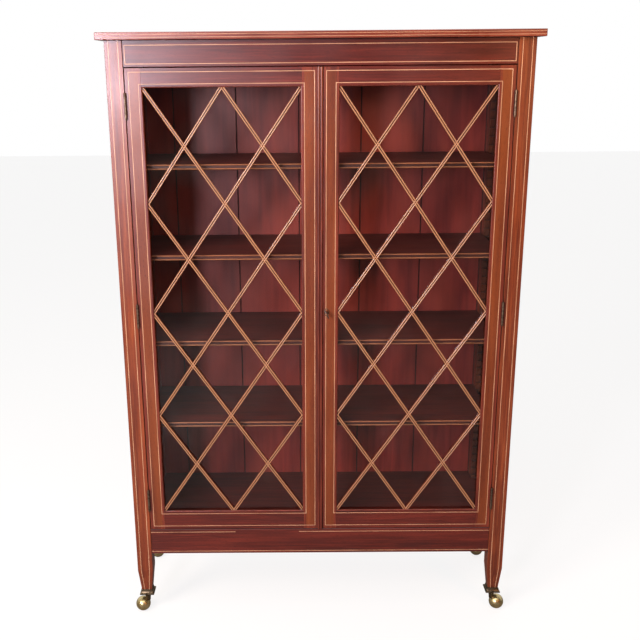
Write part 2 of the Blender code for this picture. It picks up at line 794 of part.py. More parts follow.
def make_key():
    """A ring bow on a round shank, with a bit behind the bolt's path."""
    bow_front = FRONT - KEY_REACH
    bow_middle = bow_front + KEY_BOW_WIDTH / 2
    bit_front = LOCK_BOLT_FRONT + LOCK_BOLT_THICKNESS + LOCK_PLAY
    bit_back = bit_front + KEY_BIT_WIDTH
    pivot = Matrix.Translation((KEY_X, 0.0, LOCK_HEIGHT)) @ Matrix.Rotation(KEY_TURN, 4, "Y")

    shank = rod_shape(
        (0.0, bow_front + KEY_BOW_WIDTH - KEY_WIRE_RADIUS, 0.0),
        (0.0, bit_back, 0.0),
        KEY_SHANK_RADIUS,
        KNUCKLE_SIDES,
    )
    bmesh.ops.transform(shank, matrix=pivot, verts=shank.verts)
    key = add_mesh_object("key", shank, STEEL)

    bit = box_shape(
        (-KEY_BIT_THICKNESS / 2, bit_front, -KEY_BIT_LENGTH),
        (KEY_BIT_THICKNESS / 2, bit_back - FIT_GAP, 0.0),
    )
    bmesh.ops.transform(bit, matrix=pivot, verts=bit.verts)
    combine(key, add_mesh_object("key_bit", bit, STEEL, CUTTERS), "UNION")

    bow_curve = bpy.data.curves.new("key_bow", "CURVE")
    bow_curve.dimensions = "3D"
    bow_curve.bevel_depth = KEY_WIRE_RADIUS
    bow_curve.bevel_resolution = 2
    spline = bow_curve.splines.new("POLY")
    spline.points.add(KEY_BOW_STEPS - 1)
    for index, point in enumerate(spline.points):
        angle = 2 * math.pi * index / KEY_BOW_STEPS
        y = bow_middle + (KEY_BOW_WIDTH / 2 - KEY_WIRE_RADIUS) * math.cos(angle)
        z = (KEY_BOW_HEIGHT / 2 - KEY_WIRE_RADIUS) * math.sin(angle)
        point.co = (*(pivot @ Vector((0.0, y, z))), 1.0)
    spline.use_cyclic_u = True
    bow = bpy.data.objects.new("key_bow", bow_curve)
    CUTTERS.objects.link(bow)
    combine(key, as_mesh(bow, STEEL, CUTTERS), "UNION")


def make_left_door_bolt():
    """A slide bolt behind the left door's meeting stile; it shoots up behind the frieze."""
    x = -MEETING_LEFT
    back = DOOR_BACK + FIT_GAP
    top = DOOR_TOP - DOOR_BOLT_DROP
    half = DOOR_BOLT_WIDTH / 2
    bolt = box(
        "left_door_bolt",
        (x - half, back, top - DOOR_BOLT_LENGTH),
        (x + half, back + DOOR_BOLT_THICKNESS, top),
        BRASS,
    )
    knob_z = top - DOOR_BOLT_LENGTH + DOOR_BOLT_WIDTH
    knob_y = back + DOOR_BOLT_THICKNESS / 2
    knob = add_mesh_object(
        "left_door_bolt_knob",
        rod_shape(
            (x, knob_y, knob_z),
            (x, back + DOOR_BOLT_THICKNESS + DOOR_BOLT_KNOB, knob_z),
            DOOR_BOLT_KNOB,
            KNUCKLE_SIDES,
        ),
        BRASS,
        CUTTERS,
    )
    combine(bolt, knob, "UNION")


# ---------------------------------------------------------------- castors


def half_ball(gap, keep_wheel_side):
    """Half of a ball centred on the origin, cut flat across the wheel's axis (local -Y)."""
    shape = bmesh.new()
    bmesh.ops.create_uvsphere(
        shape,
        u_segments=WHEEL_SEGMENTS,
        v_segments=WHEEL_SEGMENTS // 2,
        radius=WHEEL_RADIUS,
    )
    pole_to_axis = Matrix.Rotation(math.radians(90), 4, "X")
    bmesh.ops.transform(shape, matrix=pole_to_axis, verts=shape.verts)
    side = -1 if keep_wheel_side else 1
    cut = bmesh.ops.bisect_plane(
        shape,
        geom=shape.verts[:] + shape.edges[:] + shape.faces[:],
        dist=SMALLEST_EDGE,
        plane_co=(0.0, side * gap / 2, 0.0),
        plane_no=(0.0, -side, 0.0),
        clear_outer=True,
    )
    rim = [item for item in cut["geom_cut"] if isinstance(item, bmesh.types.BMEdge)]
    bmesh.ops.contextual_create(shape, geom=rim)
    bmesh.ops.recalc_face_normals(shape, faces=shape.faces)
    return shape


def make_castor(name, x, y, trail_angle):
    """Flared socket and plate on the foot, swivelling hood with its axle, and half-ball wheel."""
    bottom = PLATE_HEIGHT
    stepped_block(
        name + "_socket",
        [
            (bottom, PLATE_SIZE),
            (bottom + PLATE_THICKNESS, PLATE_SIZE),
            (bottom + PLATE_THICKNESS + SOCKET_HEIGHT, FOOT_SIZE),
        ],
        (x, y),
        BRONZE,
    )

    stem_axis = Vector((x, y, 0.0))
    heading = Matrix.Rotation(trail_angle, 4, "Z")
    centre = stem_axis + heading @ Vector((TRAIL, 0.0, WHEEL_RADIUS))
    tilt = Matrix.Rotation(WHEEL_TILT, 4, "X")
    if math.cos(trail_angle) < 0:
        tilt = Matrix.Rotation(math.pi, 4, "Z") @ tilt
    placed = Matrix.Translation(centre) @ heading @ tilt

    hood_shape = half_ball(WHEEL_GAP, False)
    bmesh.ops.transform(hood_shape, matrix=placed, verts=hood_shape.verts)
    hood = add_mesh_object(name + "_hood", hood_shape, BRASS)

    clear_of_wheel = STEM_BASE_RADIUS / math.tan(WHEEL_TILT) + 3 * WHEEL_GAP
    stem_base = (x, y, WHEEL_RADIUS + clear_of_wheel)
    stem_top = (x, y, PLATE_HEIGHT - FIT_GAP)
    stem = add_mesh_object(
        name + "_stem",
        rod_shape(stem_base, stem_top, STEM_BASE_RADIUS, KNUCKLE_SIDES, STEM_TOP_RADIUS),
        BRONZE,
        CUTTERS,
    )
    combine(hood, stem, "UNION")
    axle_end = placed @ Vector((0.0, -AXLE_LENGTH, 0.0))
    axle_root = placed @ Vector((0.0, AXLE_RADIUS, 0.0))
    axle = add_mesh_object(
        name + "_axle",
        rod_shape(axle_root, axle_end, AXLE_RADIUS, KNUCKLE_SIDES),
        BRASS,
        CUTTERS,
    )
    combine(hood, axle, "UNION")

    wheel_shape = half_ball(WHEEL_GAP, True)
    bmesh.ops.transform(wheel_shape, matrix=placed, verts=wheel_shape.verts)
    wheel = add_mesh_object(name + "_wheel", wheel_shape, BRASS)
    bore_end = placed @ Vector((0.0, -AXLE_LENGTH - AXLE_PLAY, 0.0))
    bore = add_mesh_object(
        name + "_bore",
        rod_shape(axle_root, bore_end, AXLE_RADIUS + AXLE_PLAY, KNUCKLE_SIDES),
        BRASS,
        CUTTERS,
    )
    combine(wheel, bore, "DIFFERENCE")
    for item in (hood, wheel):
        item.data.shade_smooth()
        item.data.set_sharp_from_angle(angle=SHARP_ANGLE)


def make_castors():
    """Each trails outwards along X, as the case was last pushed."""
    for side, x, angle in (("left", -LEG_MIDDLE, math.pi), ("right", LEG_MIDDLE, 0.0)):
        make_castor(side + "_front_castor", x, FRONT + LEG_SIZE / 2, angle)
        make_castor(side + "_back_castor", x, BACK - LEG_SIZE / 2, angle)


make_top_board()
make_legs()
make_rails()
make_side_panels()
make_bottom_board()
make_back_boards()
make_racks()
make_shelves()
make_doors()
make_lock_bolt()
make_key()
make_left_door_bolt()
make_castors()
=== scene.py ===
"""Looks of a glazed display bookcase: inlaid mahogany, reeded glazing bars, brass and bronze fittings.

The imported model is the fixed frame. Lengths are in metres, +Z is up and the doors face -Y.
Places are worked out from the frame's nodes and joints, so the looks follow the model's sizes.
"""

import json
import math
from fnmatch import fnmatch

import bmesh
import bpy
from mathutils import Matrix, Vector


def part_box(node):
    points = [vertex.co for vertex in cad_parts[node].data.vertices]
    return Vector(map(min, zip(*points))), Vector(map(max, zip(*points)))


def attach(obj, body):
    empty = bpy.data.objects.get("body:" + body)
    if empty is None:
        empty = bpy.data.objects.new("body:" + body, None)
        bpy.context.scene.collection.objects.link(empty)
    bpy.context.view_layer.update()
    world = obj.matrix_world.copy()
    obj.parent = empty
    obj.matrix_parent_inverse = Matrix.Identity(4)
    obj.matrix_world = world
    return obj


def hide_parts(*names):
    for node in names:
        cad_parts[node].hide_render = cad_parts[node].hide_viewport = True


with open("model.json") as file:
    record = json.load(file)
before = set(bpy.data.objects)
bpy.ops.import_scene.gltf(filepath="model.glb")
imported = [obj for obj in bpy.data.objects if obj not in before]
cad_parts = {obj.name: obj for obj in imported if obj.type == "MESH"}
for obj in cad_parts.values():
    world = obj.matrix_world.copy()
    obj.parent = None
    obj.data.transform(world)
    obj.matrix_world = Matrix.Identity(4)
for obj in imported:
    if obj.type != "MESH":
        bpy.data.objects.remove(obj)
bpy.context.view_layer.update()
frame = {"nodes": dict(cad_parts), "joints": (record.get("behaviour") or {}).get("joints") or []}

MM = 0.001
SIDES = (("left", -1), ("right", 1))
ENDS = ("front", "back")
OUTWARD = Vector((0, -1, 0))
ACROSS = Vector((1, 0, 0))
UP = Vector((0, 0, 1))

# ---------------------------------------------------------------- material helpers


def linear(colour):
    """An sRGB hex colour as linear red, green, blue and alpha."""
    shares = [int(colour[start : start + 2], 16) / 255 for start in (1, 3, 5)]
    return (*[s / 12.92 if s <= 0.04045 else ((s + 0.055) / 1.055) ** 2.4 for s in shares], 1.0)


def fill(node, *values, **named):
    """Fill inputs in order or by name: a node or a socket is linked, anything else is set."""
    for key, value in (*enumerate(values), *named.items()):
        socket = node.inputs[key.replace("_", " ") if isinstance(key, str) else key]
        source = value.outputs[0] if isinstance(value, bpy.types.Node) else value
        if isinstance(source, bpy.types.NodeSocket):
            node.id_data.links.new(source, socket)
        else:
            socket.default_value = source
    return node


def add(tree, kind, *values, **named):
    """Add a node. Lower-case names are its settings; the rest fills its inputs."""
    node = tree.nodes.new(kind)
    for name in [name for name in named if name.islower()]:
        setattr(node, name, named.pop(name))
    return fill(node, *values, **named)


def new_finish(name):
    material = bpy.data.materials.new(name)
    material.use_nodes = True
    tree = material.node_tree
    place = add(tree, "ShaderNodeTexCoord").outputs["Object"]
    return material, tree, tree.nodes["Principled BSDF"], place


def mottle(tree, place, size, detail=3.0, distortion=0.0):
    """Noise whose patches are about size (x, y, z) in metres."""
    mapped = add(tree, "ShaderNodeMapping", place, Scale=tuple(1 / length for length in size))
    return add(
        tree, "ShaderNodeTexNoise", mapped, Scale=1.0, Detail=detail, Distortion=distortion
    )


# ---------------------------------------------------------------- finishes


def along_grain(direction, across, length):
    return (length, across, across) if direction == "X" else (across, across, length)


def band_share(tree, place, middle, half, bottom, top):
    """1 inside an upright band, from bottom to top, middle metres from the centre line."""
    soft = 0.2 * MM
    parts = add(tree, "ShaderNodeSeparateXYZ", place)
    apart = add(tree, "ShaderNodeMath", parts, operation="ABSOLUTE")
    offset = add(tree, "ShaderNodeMath", apart, middle, operation="SUBTRACT")
    distance = add(tree, "ShaderNodeMath", offset, operation="ABSOLUTE")
    within = add(tree, "ShaderNodeMapRange", distance, half - soft, half + soft, 1.0, 0.0)
    for level, under, over in ((bottom, 0.0, 1.0), (top, 1.0, 0.0)):
        height = parts.outputs["Z"]
        limit = add(tree, "ShaderNodeMapRange", height, level - soft, level + soft, under, over)
        within = add(tree, "ShaderNodeMath", within, limit, operation="MULTIPLY")
    return within


def polished_wood(name, direction, tones, roughness, coat, band=None, painted_highlight=None):
    """Dyed and French polished hardwood: streaked figure, short dark pores, smears in the polish.

    Mahogany's pores are 0.2 mm wide; they are drawn three times as wide, so that they show.
    A band is an upright strip of warmer veneer between two strings: its middle, half width,
    bottom and top.
    The painted highlight paints the reeds pale from their front to their foot: their front, their foot
    and the colour.
    """
    deep, middle, pale = (linear(tone) for tone in tones)
    material, tree, shader, place = new_finish(name)
    figure = mottle(tree, place, along_grain(direction, 0.030, 0.50), 4.0, 0.6)
    streak = mottle(tree, place, along_grain(direction, 0.0045, 0.12), 3.0, 0.3)
    pores = mottle(tree, place, along_grain(direction, 0.0007, 0.011), 1.0)
    cloud = mottle(tree, place, (0.16, 0.16, 0.16), 2.0)

    share = add(tree, "ShaderNodeMapRange", figure, 0.32, 0.68, 0.0, 1.0)
    tone = add(tree, "ShaderNodeMixRGB", share, deep, middle)
    share = add(tree, "ShaderNodeMapRange", streak, 0.45, 0.72, 0.0, 0.55)
    tone = add(tree, "ShaderNodeMixRGB", share, tone, pale)
    if band:
        share = add(tree, "ShaderNodeMapRange", figure, 0.3, 0.7, 0.0, 1.0)
        veneer = add(tree, "ShaderNodeMixRGB", share, linear("#60260F"), linear("#84401C"))
        tone = add(tree, "ShaderNodeMixRGB", band_share(tree, place, *band), tone, veneer)
    # Painted highlight: the reeds are painted paler at their front, fading out toward their foot.
    if painted_highlight:
        front, foot, highlight_tone = painted_highlight
        inward = add(tree, "ShaderNodeSeparateXYZ", place).outputs["Y"]
        share = add(tree, "ShaderNodeMapRange", inward, front, foot, 0.9, 0.0)
        tone = add(tree, "ShaderNodeMixRGB", share, tone, linear(highlight_tone))
    dark_pores = add(tree, "ShaderNodeMapRange", pores, 0.60, 0.70, 0.0, 0.45)
    tone = add(tree, "ShaderNodeMixRGB", dark_pores, tone, deep, blend_type="MULTIPLY")
    # Painted shade: the colour goes toward near black where other surfaces close in within 10 mm.
    corner = add(tree, "ShaderNodeAmbientOcclusion", samples=4, Distance=0.010).outputs["AO"]
    painted_corner_shade = add(tree, "ShaderNodeMapRange", corner, 0.35, 0.85, 0.75, 0.0)
    tone = add(tree, "ShaderNodeMixRGB", painted_corner_shade, tone, linear("#1C0D0A"))

    smear = add(tree, "ShaderNodeMapRange", cloud, 0.3, 0.7, roughness - 0.05, roughness + 0.08)
    relief = add(
        tree, "ShaderNodeBump", invert=True, Strength=0.25, Distance=0.0002, Height=dark_pores
    )
    fill(shader, Base_Color=tone, Roughness=smear, Normal=relief, IOR=1.5)
    fill(shader, Coat_Weight=coat, Coat_Roughness=0.26)
    return material


def stained_matchboard(first_edge, board_width):
    """Pine back boards under a red stain: each board takes it a little differently.

    The boards are counted from the first one's edge, and dark joints part them.
    """
    material, tree, shader, place = new_finish("red_stained_matchboard")
    across = add(tree, "ShaderNodeSeparateXYZ", place)
    shifted = add(tree, "ShaderNodeMath", across, first_edge, operation="SUBTRACT")
    counted = add(tree, "ShaderNodeMath", shifted, board_width, operation="DIVIDE")
    board = add(tree, "ShaderNodeMath", counted, operation="FLOOR")
    lot = add(tree, "ShaderNodeTexWhiteNoise", noise_dimensions="1D", W=board)

    figure = mottle(tree, place, (0.022, 0.022, 0.40), 4.0, 0.8)
    blotch = mottle(tree, place, (0.10, 0.10, 0.22), 3.0, 0.4)
    share = add(tree, "ShaderNodeMapRange", figure, 0.3, 0.7, 0.0, 1.0)
    tone = add(tree, "ShaderNodeMixRGB", share, linear("#701C18"), linear("#942E26"))
    share = add(tree, "ShaderNodeMapRange", blotch, 0.35, 0.75, 0.0, 0.6)
    tone = add(tree, "ShaderNodeMixRGB", share, tone, linear("#AE4230"))
    share = add(tree, "ShaderNodeMapRange", lot, 0.0, 1.0, 0.0, 0.45)
    tone = add(tree, "ShaderNodeMixRGB", share, tone, linear("#3E1212"))
    beside_joint = add(tree, "ShaderNodeMath", counted, 0.5, operation="PINGPONG")
    joint = 2.6 * MM / board_width
    share = add(tree, "ShaderNodeMapRange", beside_joint, joint * 0.5, joint, 0.85, 0.0)
    tone = add(tree, "ShaderNodeMixRGB", share, tone, linear("#140605"))
    relief = add(tree, "ShaderNodeBump", Strength=0.2, Distance=0.0004, Height=figure)
    fill(shader, Base_Color=tone, Roughness=0.46, Normal=relief)
    return material


def boxwood_string():
    """Sawn boxwood let into the ground: straw coloured, darkened here and there by old polish."""
    material, tree, shader, place = new_finish("boxwood_string")
    worn = mottle(tree, place, (0.09, 0.09, 0.09), 3.0)
    share = add(tree, "ShaderNodeMapRange", worn, 0.35, 0.68, 0.0, 1.0)
    tone = add(tree, "ShaderNodeMixRGB", share, linear("#CA9A76"), linear("#A27656"))
    fill(shader, Base_Color=tone, Roughness=0.38, Coat_Weight=0.3, Coat_Roughness=0.16)
    return material


def old_window_glass():
    """Drawn sheet glass: it mirrors a little, not quite sharply, and holds a trace of dust.

    Only the faces that light meets from outside mirror, so that a pane mirrors once.
    """
    material, tree, shader, place = new_finish("old_window_glass")
    tree.nodes.remove(shader)
    gloss = add(tree, "ShaderNodeFresnel", IOR=1.52)
    inside = add(tree, "ShaderNodeNewGeometry").outputs["Backfacing"]
    outside = add(tree, "ShaderNodeMapRange", inside, 0.0, 1.0, 1.0, 0.0)
    share = add(tree, "ShaderNodeMath", gloss, outside, operation="MULTIPLY")
    clear = add(tree, "ShaderNodeBsdfTransparent", Color=linear("#FAFCFA"))
    mirror = add(tree, "ShaderNodeBsdfGlossy", Color=linear("#FFFFFF"), Roughness=0.04)
    sheet = add(tree, "ShaderNodeMixShader", share, clear, mirror)
    dust = add(tree, "ShaderNodeBsdfDiffuse", Color=linear("#B8B4AC"))
    patches = mottle(tree, place, (0.20, 0.20, 0.25), 2.0, 0.5)
    share = add(tree, "ShaderNodeMapRange", patches, 0.5, 0.8, 0.0, 0.008)
    dusty = add(tree, "ShaderNodeMixShader", share, sheet, dust)
    fill(tree.nodes["Material Output"], Surface=dusty)
    return material


def aged_metal(name, bright, dull, roughness, patch=0.008):
    """Handled metal: bright where it is rubbed, dull in patches and corners, and rougher in the
    patches.
    """
    material, tree, shader, place = new_finish(name)
    patches = mottle(tree, place, (patch, patch, patch), 5.0, 0.3)
    fine = mottle(tree, place, (0.0012, 0.0012, 0.0012), 2.0)
    share = add(tree, "ShaderNodeMapRange", patches, 0.42, 0.70, 0.0, 0.8)
    tone = add(tree, "ShaderNodeMixRGB", share, linear(bright), linear(dull))
    corner = add(tree, "ShaderNodeAmbientOcclusion", samples=4, Distance=0.004).outputs["AO"]
    share = add(tree, "ShaderNodeMapRange", corner, 0.3, 0.9, 0.85, 0.0)
    tone = add(tree, "ShaderNodeMixRGB", share, tone, linear(dull))
    rough = add(tree, "ShaderNodeMapRange", patches, 0.3, 0.75, roughness, roughness + 0.16)
    relief = add(tree, "ShaderNodeBump", Strength=0.12, Distance=0.0001, Height=fine)
    fill(shader, Base_Color=tone, Roughness=rough, Metallic=1.0, Normal=relief)
    return material


BACK_BOARD = 0.181           # one back board's width
back_low, back_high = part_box("back_boards")

MAHOGANY = ("#501C12", "#782E1C", "#94442A")
LEG_WOOD = ("#5C2412", "#84391A", "#A0522A")
RAIL_WOOD = ("#42130D", "#602016", "#782C1E")
TOP_WOOD = ("#5A2216", "#883A26", "#A05038")
SHELF_WOOD = ("#3A100C", "#561A14", "#6E261A")
RACK_WOOD = ("#4A2014", "#66301E", "#7E4228")
BAR_WOOD = ("#4A2010", "#6E3418", "#8C4C28")

LEG = polished_wood("polished_mahogany_leg", "Z", LEG_WOOD, 0.34, 0.15)
UPRIGHT = polished_wood("polished_mahogany_upright", "Z", MAHOGANY, 0.34, 0.15)
LEVEL = polished_wood("polished_mahogany_level", "X", RAIL_WOOD, 0.34, 0.15)
TOP = polished_wood("polished_mahogany_top", "X", TOP_WOOD, 0.30, 0.15)
BOARD = polished_wood("stained_bottom_board", "X", SHELF_WOOD, 0.48, 0.0)
RACK = polished_wood("waxed_rack_wood", "Z", RACK_WOOD, 0.45, 0.10)
BACKING = stained_matchboard(back_high.x, BACK_BOARD)
STRING = boxwood_string()
GLASS = old_window_glass()
BRASS = aged_metal("polished_brass_castor", "#DCC894", "#9C8650", 0.27, 0.012)
OLD_BRASS = aged_metal("dull_brass_fitting", "#80705E", "#3A2C26", 0.38)
BRONZE = aged_metal("dark_bronzed_plate", "#75654F", "#352A20", 0.36)
STEEL = aged_metal("aged_steel_key", "#8A7E7A", "#3A2C2C", 0.34, 0.005)

# ---------------------------------------------------------------- shape helpers


def joint(name):
    return next(item for item in frame["joints"] if item["name"] == name)


def in_scene(name, data):
    made = bpy.data.objects.new(name, data)
    bpy.context.scene.collection.objects.link(made)
    return made


def new_piece(name, mesh, body, replaced=()):
    """Show a finished mesh as a piece that rides on a body."""
    piece = in_scene(name, mesh)
    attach(piece, body)
    if replaced:
        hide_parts(*replaced)


def finished_mesh(name, shape, finish, smooth_below=35):
    """Close a bmesh's seams, turn its faces outwards and shade it."""
    bmesh.ops.remove_doubles(shape, verts=shape.verts, dist=0.001 * MM)
    bmesh.ops.recalc_face_normals(shape, faces=shape.faces)
    mesh = bpy.data.meshes.new(name)
    shape.to_mesh(mesh)
    shape.free()
    mesh.materials.append(finish)
    mesh.shade_smooth()
    mesh.set_sharp_from_angle(angle=math.radians(smooth_below))
    return mesh


def shaped_piece(name, shape, finish, body, replaced=(), smooth_below=35):
    new_piece(name, finished_mesh(name, shape, finish, smooth_below), body, replaced)


def add_block(shape, low, high, edge=0.0):
    """Add a box to a bmesh, with softened edges if edge is given."""
    made = bmesh.ops.create_cube(shape, size=1.0)["verts"]
    size = Vector(high) - Vector(low)
    placed = Matrix.Translation((Vector(low) + Vector(high)) / 2) @ Matrix.Diagonal((*size, 1.0))
    bmesh.ops.transform(shape, matrix=placed, verts=made)
    if edge:
        edges = list(dict.fromkeys(e for v in made for e in v.link_edges))
        bmesh.ops.bevel(shape, geom=edges, offset=edge, segments=2, profile=0.5, affect="EDGES")


def in_mm(*pairs):
    """A turned outline, (radius, distance along the axis), given in millimetres."""
    return [(radius * MM, along * MM) for radius, along in pairs]


def turned_shape(outline, base, axis, steps=40, turn=0.0):
    """A bmesh of one turned form, placed with its start at base and pointing along axis."""
    shape = bmesh.new()
    chain = [shape.verts.new((radius, 0.0, along)) for radius, along in outline]
    edges = [shape.edges.new(pair) for pair in zip(chain, chain[1:])]
    bmesh.ops.spin(
        shape,
        geom=chain + edges,
        cent=(0, 0, 0),
        axis=(0, 0, 1),
        angle=2 * math.pi,
        steps=steps,
        use_merge=True,
    )
    bmesh.ops.remove_doubles(shape, verts=shape.verts, dist=0.001 * MM)
    pointed = Vector(axis).to_track_quat("Z", "Y").to_matrix().to_4x4()
    placed = Matrix.Translation(base) @ pointed @ Matrix.Rotation(turn, 4, "Z")
    bmesh.ops.transform(shape, matrix=placed, verts=shape.verts)
    return shape


def take_in(shape, other):
    """Move another bmesh's faces into shape."""
    spare = bpy.data.meshes.new("spare")
    other.to_mesh(spare)
    other.free()
    shape.from_mesh(spare)
    bpy.data.meshes.remove(spare)


def oval_ring(shape, centre, across, normal, half_width, half_height, wire, flat):
    """Add an upright oval ring of wire to a bmesh; flat squashes the wire along the normal."""
    steps, around = 40, 10
    rings = []
    for i in range(steps):
        angle = 2 * math.pi * i / steps
        level, rise = across * math.cos(angle), UP * math.sin(angle)
        middle = centre + level * half_width + rise * half_height
        ring = []
        for k in range(around):
            turn = 2 * math.pi * k / around
            offset = (level + rise) * math.cos(turn) + normal * flat * math.sin(turn)
            ring.append(shape.verts.new(middle + offset * wire))
        rings.append(ring)
    for here, after in zip(rings, rings[1:] + rings[:1]):
        for k in range(around):
            m = (k + 1) % around
            shape.faces.new((here[k], here[m], after[m], after[k]))


def line_mesh(name, points, edges):
    """A mesh of edges only, as an object that a tree can read."""
    mesh = bpy.data.meshes.new(name)
    mesh.from_pydata([tuple(p) for p in points], edges, [])
    return in_scene(name, mesh)


patterns = []


def section(name, outline):
    """A closed section that a moulding follows: (out of the surface, across the run) pairs."""
    points = [(out, across, 0.0) for out, across in outline]
    count = len(points)
    made = line_mesh(name, points, [(i, (i + 1) % count) for i in range(count)])
    patterns.append(made)
    return made


# ---------------------------------------------------------------- trees for what repeats


def new_tree(name, *sockets):
    """A geometry tree and its inputs, each socket a (name, kind) pair."""
    tree = bpy.data.node_groups.new(name, "GeometryNodeTree")
    for socket, kind in (*sockets, ("Finish", "Material")):
        tree.interface.new_socket(socket, in_out="INPUT", socket_type="NodeSocket" + kind)
    tree.interface.new_socket("Pieces", in_out="OUTPUT", socket_type="NodeSocketGeometry")
    return tree, tree.nodes.new("NodeGroupInput").outputs


def finish_tree(tree, geometry, finish):
    realised = add(tree, "GeometryNodeRealizeInstances", geometry)
    painted = add(tree, "GeometryNodeSetMaterial", realised, Material=finish)
    add(tree, "NodeGroupOutput", painted)
    return tree


def moulding_tree():
    """Sweeps a profile along each edge of a mesh; Facing says which way the profile looks."""
    tree, given = new_tree(
        "moulding_along_lines", ("Lines", "Geometry"), ("Profile", "Object"), ("Facing", "Vector")
    )
    runs = add(tree, "GeometryNodeMeshToCurve", given["Lines"])
    faced = add(
        tree, "GeometryNodeSetCurveNormal", runs, mode="FREE", Normal=given["Facing"]
    )
    profile = add(tree, "GeometryNodeObjectInfo", given["Profile"]).outputs["Geometry"]
    outline = add(tree, "GeometryNodeMeshToCurve", profile)
    swept = add(tree, "GeometryNodeCurveToMesh", faced, Profile_Curve=outline, Fill_Caps=True)
    return finish_tree(tree, swept, given["Finish"])


def fixings_tree():
    """Sets a screw or nail at each point, its head turned to the point's facing attribute."""
    tree, given = new_tree(
        "fixings_on_points",
        ("Points", "Geometry"),
        ("Head", "Object"),
        ("Diameter", "Float"),
        ("Seed", "Int"),
    )
    facing = add(
        tree, "GeometryNodeInputNamedAttribute", data_type="FLOAT_VECTOR", Name="facing"
    )
    pointed = add(tree, "FunctionNodeAlignRotationToVector", axis="Z", Vector=facing)
    driven = add(tree, "FunctionNodeRandomValue", data_type="FLOAT", Seed=given["Seed"])
    driven.inputs[3].default_value = math.pi    # the largest turn; the least is 0
    turned = add(tree, "ShaderNodeCombineXYZ", Z=driven.outputs[1])
    spun = add(tree, "FunctionNodeRotateRotation", pointed, turned, rotation_space="LOCAL")
    placed = add(
        tree,
        "GeometryNodeInstanceOnPoints",
        given["Points"],
        Instance=add(tree, "GeometryNodeObjectInfo", given["Head"]).outputs["Geometry"],
        Rotation=spun,
        Scale=given["Diameter"],
    )
    return finish_tree(tree, placed, given["Finish"])


MOULDING = moulding_tree()
FIXINGS = fixings_tree()


def grown(name, guide, tree, finish, **settings):
    """Run a tree on a guide and keep the result as a plain mesh."""
    sockets = {i.name: i.identifier for i in tree.interface.items_tree if i.in_out == "INPUT"}
    modifier = guide.modifiers.new("grown", "NODES")
    modifier.node_group = tree
    for socket_name, value in {**settings, "Finish": finish}.items():
        modifier[sockets[socket_name]] = value
    evaluated = guide.evaluated_get(bpy.context.evaluated_depsgraph_get())
    mesh = bpy.data.meshes.new_from_object(evaluated)
    mesh.name = name
    mesh.shade_smooth()
    mesh.set_sharp_from_angle(angle=math.radians(35))
    bpy.data.objects.remove(guide, do_unlink=True)
    return mesh


def joined_mesh(name, meshes):
    """One mesh from several with the same finish."""
    shape = bmesh.new()
    for mesh in meshes:
        shape.from_mesh(mesh)
    whole = bpy.data.meshes.new(name)
    shape.to_mesh(whole)
    shape.free()
    whole.materials.append(meshes[0].materials[0])
    whole.set_sharp_from_angle(angle=math.radians(35))
    return whole


def moulding(name, lines, profile, facing, finish):
    """A moulding of one profile along straight lines, each a (start, end) pair."""
    points = [point for line in lines for point in line]
    edges = [(2 * i, 2 * i + 1) for i in range(len(lines))]
    guide = line_mesh(name + "_lines", points, edges)
    return grown(name, guide, MOULDING, finish, Profile=profile, Facing=tuple(facing))


def fixings(name, places, head, diameter, finish, body, seed=1):
    """A piece of screws or nails on a body, at places that are (point, facing) pairs."""
    guide = line_mesh(name + "_points", [point for point, _ in places], [])
    attribute = guide.data.attributes.new("facing", "FLOAT_VECTOR", "POINT")
    attribute.data.foreach_set("vector", [c for _, facing in places for c in facing])
    mesh = grown(name, guide, FIXINGS, finish, Head=head, Diameter=diameter, Seed=seed)
    new_piece(name, mesh, body)


def slotted_head():
    """A countersunk screw head of diameter 1 with a slot, standing just proud of the surface."""
    slot, proud, floor, steps = 0.09, 0.09, -0.05, 10
    start = math.asin(slot / 0.5)
    angles = [start + (math.pi - 2 * start) * k / steps for k in range(steps + 1)]
    shape = bmesh.new()
    for side in (1, -1):
        rim = [(0.5 * math.cos(a), side * 0.5 * math.sin(a)) for a in angles]
        lower = [shape.verts.new((x, y, floor)) for x, y in rim]
        upper = [shape.verts.new((x * 0.93, y * 0.97, proud)) for x, y in rim]
        shape.faces.new(upper)
        shape.faces.new(list(reversed(lower)))
        for i in range(len(rim)):
            j = (i + 1) % len(rim)
            shape.faces.new((lower[i], lower[j], upper[j], upper[i]))
    slot_floor = Matrix.Translation((0, 0, floor + 0.03))
    bmesh.ops.create_cone(
        shape, cap_ends=True, segments=20, radius1=0.49, radius2=0.49, depth=0.02,
        matrix=slot_floor,
    )
    return in_scene("slotted_head", finished_mesh("slotted_head", shape, OLD_BRASS, 30))


def nail_head():
    """A small domed nail head of diameter 1."""
    outline = [(0.0, -0.1), (0.5, -0.1), (0.5, 0.05), (0.42, 0.14), (0.24, 0.20), (0.0, 0.22)]
    shape = turned_shape(outline, (0, 0, 0), UP, 12)
    return in_scene("nail_head", finished_mesh("nail_head", shape, STEEL, 40))


SCREW = slotted_head()
NAIL = nail_head()
patterns += [SCREW, NAIL]

# ---------------------------------------------------------------- where the strings run

STRING_INSET = 9.5 * MM      # door's edge to its outer string
SIGHT_INSET = 6.5 * MM       # inner string to the opening
MEETING_INSET = {"left": 14.1 * MM, "right": 15.6 * MM}    # centre line to the outer string
LEG_INSET = 10 * MM          # leg's edge to its string
STRING_BEND = 68.2 * MM      # leg's foot to the bend in its strings
FOOT_HALF = 15 * MM          # half of the leg's width at its foot
FOOT_STRING = 6.5 * MM       # leg's middle to its strings at the foot
LOST_STRING = (-0.245, -0.060)    # the upper apron string is gone between these places


def door_sight(side):
    """The glass opening of a door: x low, x high, z low, z high."""
    low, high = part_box(side + "_door_lattice")
    return low.x, high.x, low.z, high.z


# ---------------------------------------------------------------- finishes on the frame's own nodes

